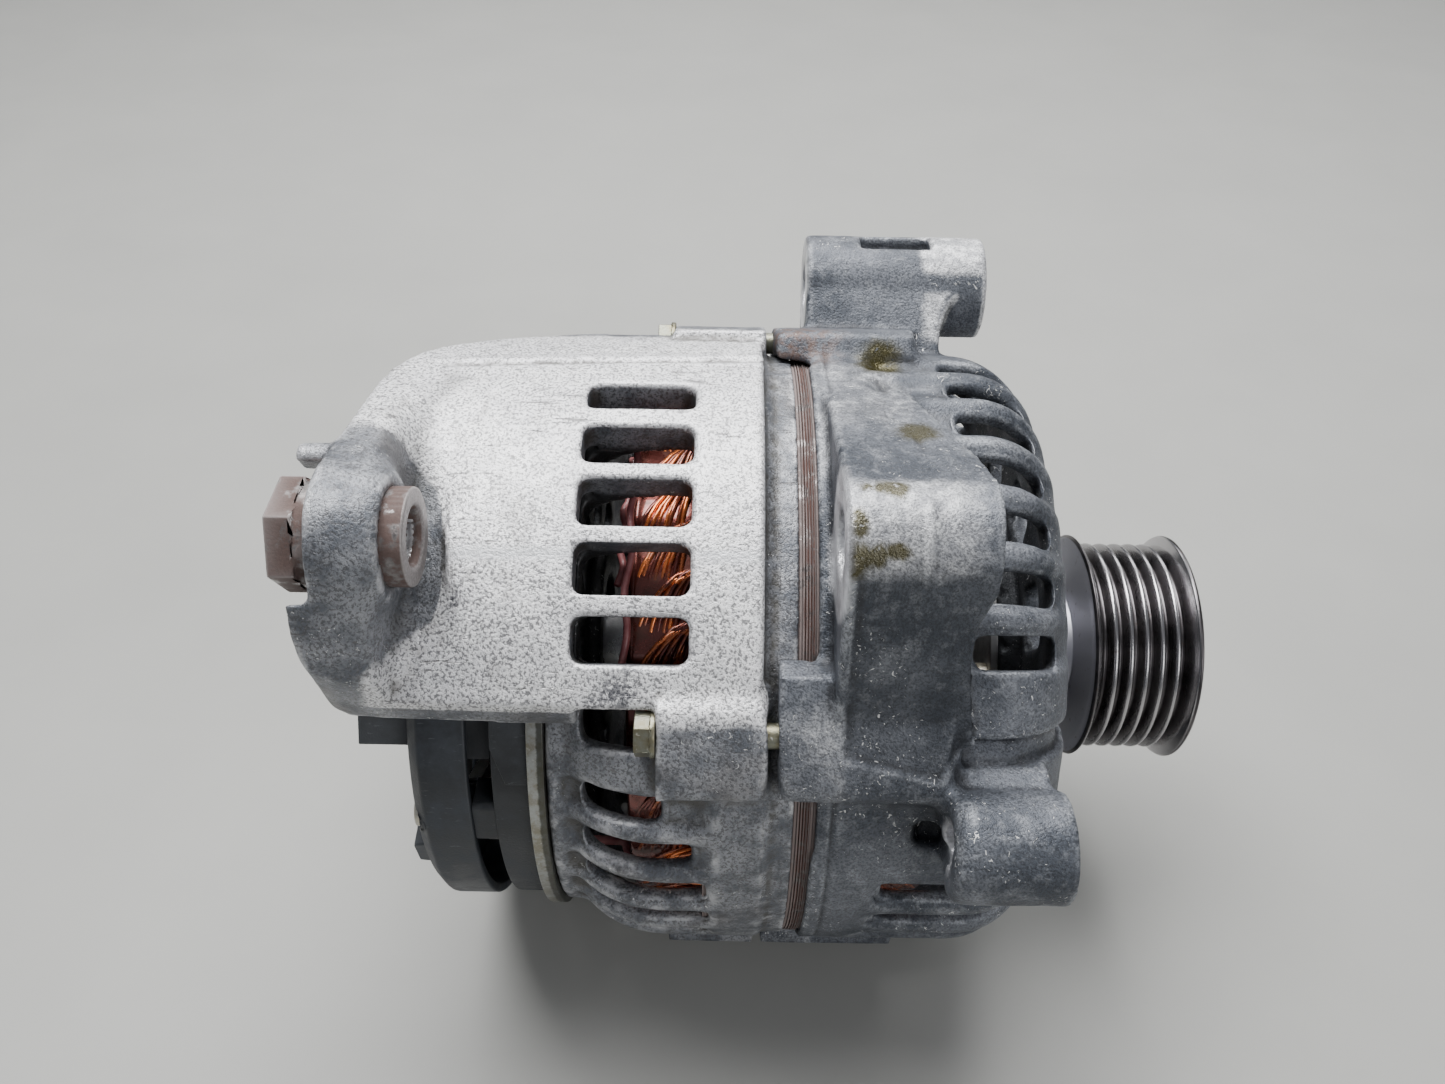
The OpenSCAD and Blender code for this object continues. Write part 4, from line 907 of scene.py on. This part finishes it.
def lamination_piece():
    """The core's edge that shows between the housings: thin sheets, a few flaking."""
    rand = random.Random(5)
    low, high = CORE_GAP
    sheets = 5
    pitch = (high - low) / sheets
    outline = [(low, CORE_R - 1.5)]
    for i in range(sheets):
        start = low + i * pitch
        top = CORE_R + 0.28 + rand.uniform(-0.1, 0.12)
        outline += [(start + 0.08, CORE_R + 0.05), (start + 0.16, top), (start + pitch - 0.12, top),
                    (start + pitch - 0.04, CORE_R + 0.05)]
    outline.append((high, CORE_R - 1.5))
    mesh = to_mesh(lathe(outline, 360), "core_edge")
    points = get_points(mesh)
    x, angle, reach = cylinder_coordinates(points)
    flake = lattice_noise(np.stack([x * 3, angle * 0.35, np.zeros_like(x)], axis=1), 1.0, 31)
    scale = 1 + np.where(reach > CORE_R + 0.2, np.clip(flake, -1, 0) * 0.28, 0) / reach
    points[:, 1:] *= scale[:, None]
    set_points(mesh, points)
    shade_smooth(mesh, 30)
    return new_piece("core_edge", mesh, "housing", "laminations")


def tube_mesh(form, path, radius, sides, closed, shades, shade):
    """Adds a round wire along the path to the bmesh and notes its shade for every vertex."""
    count = len(path)
    rings = []
    for i, here in enumerate(path):
        before = path[i - 1] if closed or i else here
        after = path[(i + 1) % count] if closed or i < count - 1 else here
        ahead = (after - before).normalized()
        side = ahead.cross(Vector((0, here.y, here.z))).normalized()
        up = side.cross(ahead)
        rings.append([form.verts.new((here + (side * math.cos(a) + up * math.sin(a)) * radius) * MM)
                      for a in (2 * math.pi * j / sides for j in range(sides))])
        shades.extend([shade] * sides)
    for i in range(count if closed else count - 1):
        here, there = rings[i], rings[(i + 1) % count]
        for j in range(sides):
            k = (j + 1) % sides
            form.faces.new((here[j], here[k], there[k], there[j]))
    if not closed:
        form.faces.new(rings[0][::-1])
        form.faces.new(rings[-1])


def winding_piece():
    """Thirty-six lapped coils. Each wire runs through two slots and arches over both ends."""
    rand = random.Random(3)
    slots, strands, steps, span = 36, 8, 13, 30.0
    form, shades = bmesh.new(), []
    for coil in range(slots):
        start_angle = coil * 360 / slots
        lean = rand.uniform(-0.5, 0.5)
        for strand in range(strands):
            column, row = strand % 2, strand // 2
            aside = (column - 0.5) * 1.15
            outer_r = 62.5 - 1.12 * row
            shade = rand.random()
            path = []
            for end, way in ((CORE_ENDS[0], -1), (CORE_ENDS[1], 1)):
                tall = 4.6 + strand * 1.27 + lean + rand.uniform(-0.25, 0.25)
                arch_points = []
                for i in range(steps + 1):
                    t = i / steps
                    arch = math.sin(math.pi * t) ** 0.55
                    x = end + way * (0.8 + tall * arch)
                    angle = start_angle + aside * (1 - 2 * t) + span * t
                    depth = (outer_r - 61.0) * (1 - arch)
                    reach = 61.9 - 4.9 * t + depth + rand.uniform(-0.12, 0.12)
                    arch_points.append(polar(x, angle, reach) / MM)
                path += arch_points if way < 0 else arch_points[::-1]
            tube_mesh(form, path, 0.56, 6, True, shades, shade)
    for low, high in ((-115, -99.5), (-64.9, -50)):
        core = lathe(rounded([(low, 55), (low, 60.4), (high, 60.4), (high, 55)], 1.5), 72)
        shades.extend([0.0] * len(core.verts))
        backing = to_mesh(core, "backing")
        form.from_mesh(backing)
        bpy.data.meshes.remove(backing)
    bmesh.ops.recalc_face_normals(form, faces=form.faces)
    mesh = to_mesh(form, "end_windings")
    set_values(mesh, "shade", np.array(shades))
    shade_smooth(mesh)
    return new_piece("end_windings", mesh, "housing", "winding", ["stator_winding"])


def lead_piece():
    """Two sleeved leads that lie round the rear end winding."""
    form, shades = bmesh.new(), []
    for first, last, x0, x1, reach in ((84, 140, -113.6, -115.3, 63.9), (96, 124, -115.6, -116.6, 61.2)):
        steps = 26
        path = [polar(x0 + (x1 - x0) * i / steps + 0.5 * math.sin(i * 0.9),
                      first + (last - first) * i / steps, reach + 0.3 * math.sin(i * 1.7)) / MM
                for i in range(steps + 1)]
        tube_mesh(form, path, 0.75, 10, False, shades, 0.5)
    bmesh.ops.recalc_face_normals(form, faces=form.faces)
    mesh = to_mesh(form, "lead_sleeves")
    shade_smooth(mesh)
    return new_piece("lead_sleeves", mesh, "housing", "lead")


def thread(form, centre, x0, x1, radius, depth, pitch, inner):
    """Adds a helical ridge round an axis parallel to the shaft; inner ones point inwards."""
    steps = 28
    turns = (x1 - x0) / pitch
    way = -1 if inner else 1
    rings = []
    for i in range(int(turns * steps) + 1):
        a = 2 * math.pi * i / steps
        x = x0 + pitch * i / steps
        ends = min(1.0, i / steps, turns - i / steps + 0.01)
        ring = []
        for dx, out in ((-0.42, 0.0), (-0.08, 1.0), (0.08, 1.0), (0.42, 0.0)):
            r = radius + way * (out * depth * max(ends, 0.0) - 0.03)
            ring.append(form.verts.new(((x + dx * pitch) * MM, centre.y + r * MM * math.cos(a),
                                        centre.z + r * MM * math.sin(a))))
        rings.append(ring)
    for here, there in zip(rings, rings[1:]):
        for j in range(4):
            k = (j + 1) % 4
            form.faces.new((here[j], here[k], there[k], there[j]))
    form.faces.new(rings[0][::-1])
    form.faces.new(rings[-1])


def thread_piece(name, body, slot, angle, reach, x0, x1, radius, depth, pitch, inner):
    form = bmesh.new()
    thread(form, polar(0, angle, reach), x0, x1, radius, depth, pitch, inner)
    bmesh.ops.recalc_face_normals(form, faces=form.faces)
    mesh = to_mesh(form, name)
    shade_smooth(mesh, 40)
    return new_piece(name, mesh, body, slot)


# ---- carried-over CAD nodes ----

def finish_nodes():
    """Gives every CAD node its material, and the small parts broken edges."""
    slots = {part["node"]: part["material_slot"] for part in frame["record"]["subparts"]}
    replaced = {"front_housing", "rear_housing", "pulley", "stator_winding"}
    plain = {"stator_core", "slot_liners", "phase_leads", "brush_spring_inner", "brush_spring_outer",
             "front_bearing_balls", "rear_bearing_balls", "front_bearing_cage", "rear_bearing_cage"}
    for name, node in frame["nodes"].items():
        node.data.materials.clear()
        node.data.materials.append(MATERIALS[slots[name]])
        if name in replaced:
            continue
        weld = node.modifiers.new("weld", "WELD")
        weld.merge_threshold = 0.002 * MM
        if name not in plain:
            bevel = node.modifiers.new("broken_edges", "BEVEL")
            bevel.width = (0.5 if name in ("rear_cover", "mount_bushing") else 0.22) * MM
            bevel.segments = 2
            bevel.limit_method = "ANGLE"
            bevel.angle_limit = math.radians(40)
            bevel.use_clamp_overlap = False
            bevel.harden_normals = False
        node.data.polygons.foreach_set("use_smooth", [True] * len(node.data.polygons))
        node.modifiers.new("normals", "WEIGHTED_NORMAL").keep_sharp = True


# ---- camera, floor and lights ----

def add_camera():
    """Looks down along +Y from above the near side, at the middle of the two housings."""
    pitch, roll = math.radians(42), math.radians(1)
    depth, drop = 292 * MM, 23.9 * MM
    forward = Vector((0, math.cos(pitch), -math.sin(pitch)))
    up = Vector((0, math.sin(pitch), math.cos(pitch)))
    data = bpy.data.cameras.new("camera")
    data.lens = 29.02
    data.sensor_width = 36
    data.clip_start = 0.005
    camera = bpy.data.objects.new("camera", data)
    bpy.context.collection.objects.link(camera)
    target = Vector((-96.2 * MM, 0, 0))
    place = target - forward * depth + up * drop
    turn = forward.to_track_quat("-Z", "Y").to_matrix().to_4x4()
    camera.matrix_world = Matrix.Translation(place) @ turn @ Matrix.Rotation(roll, 4, "Z")
    bpy.context.scene.camera = camera


def add_area_light(name, place, target, size, power):
    data = bpy.data.lights.new(name, "AREA")
    data.shape = "RECTANGLE"
    data.size, data.size_y = size
    data.energy = power
    light = bpy.data.objects.new(name, data)
    bpy.context.collection.objects.link(light)
    place = Vector(place)
    light.matrix_world = (Matrix.Translation(place)
        @ (Vector(target) - place).to_track_quat("-Z", "Y").to_matrix().to_4x4())


def add_stage():
    low = cad_box[0][2]
    bpy.ops.mesh.primitive_plane_add(size=6, location=(-0.09, 1.0, low - 0.0002))
    floor = bpy.context.object
    floor.name = "floor"
    s = Surface("floor", roughness=0.5)
    shade = s.noise(60, detail=4)
    color = s.mix(shade, (0.33, 0.33, 0.315), (0.39, 0.39, 0.37))
    floor.data.materials.append(s.finish(color))
    middle = (-0.09, 0, 0)
    add_area_light("key", (-0.22, 0.28, 0.95), middle, (0.9, 0.6), 24)
    add_area_light("fill", (0.5, -0.95, 0.55), middle, (0.6, 0.6), 4.5)
    add_area_light("back", (0.1, 1.0, 0.6), middle, (1.4, 0.4), 6)
    world = bpy.data.worlds.new("studio")
    bpy.context.scene.world = world
    world.use_nodes = True
    world.node_tree.nodes["Background"].inputs["Color"].default_value = (0.9, 0.93, 1, 1)
    world.node_tree.nodes["Background"].inputs["Strength"].default_value = 0.23


add_camera()
finish_nodes()
front_shell()
rear_shell()
pulley_piece()
lamination_piece()
winding_piece()
lead_piece()
thread_piece("bushing_thread", "bushing", "shaft_steel", *PIVOT, -175.2, -154.2, 5.2, 0.55, 1.75, True)
thread_piece("stud_thread", "housing", "stud_brass", 15, 40, -175.4, -169.6, 3.75, 0.25, 1.25, False)
add_stage()
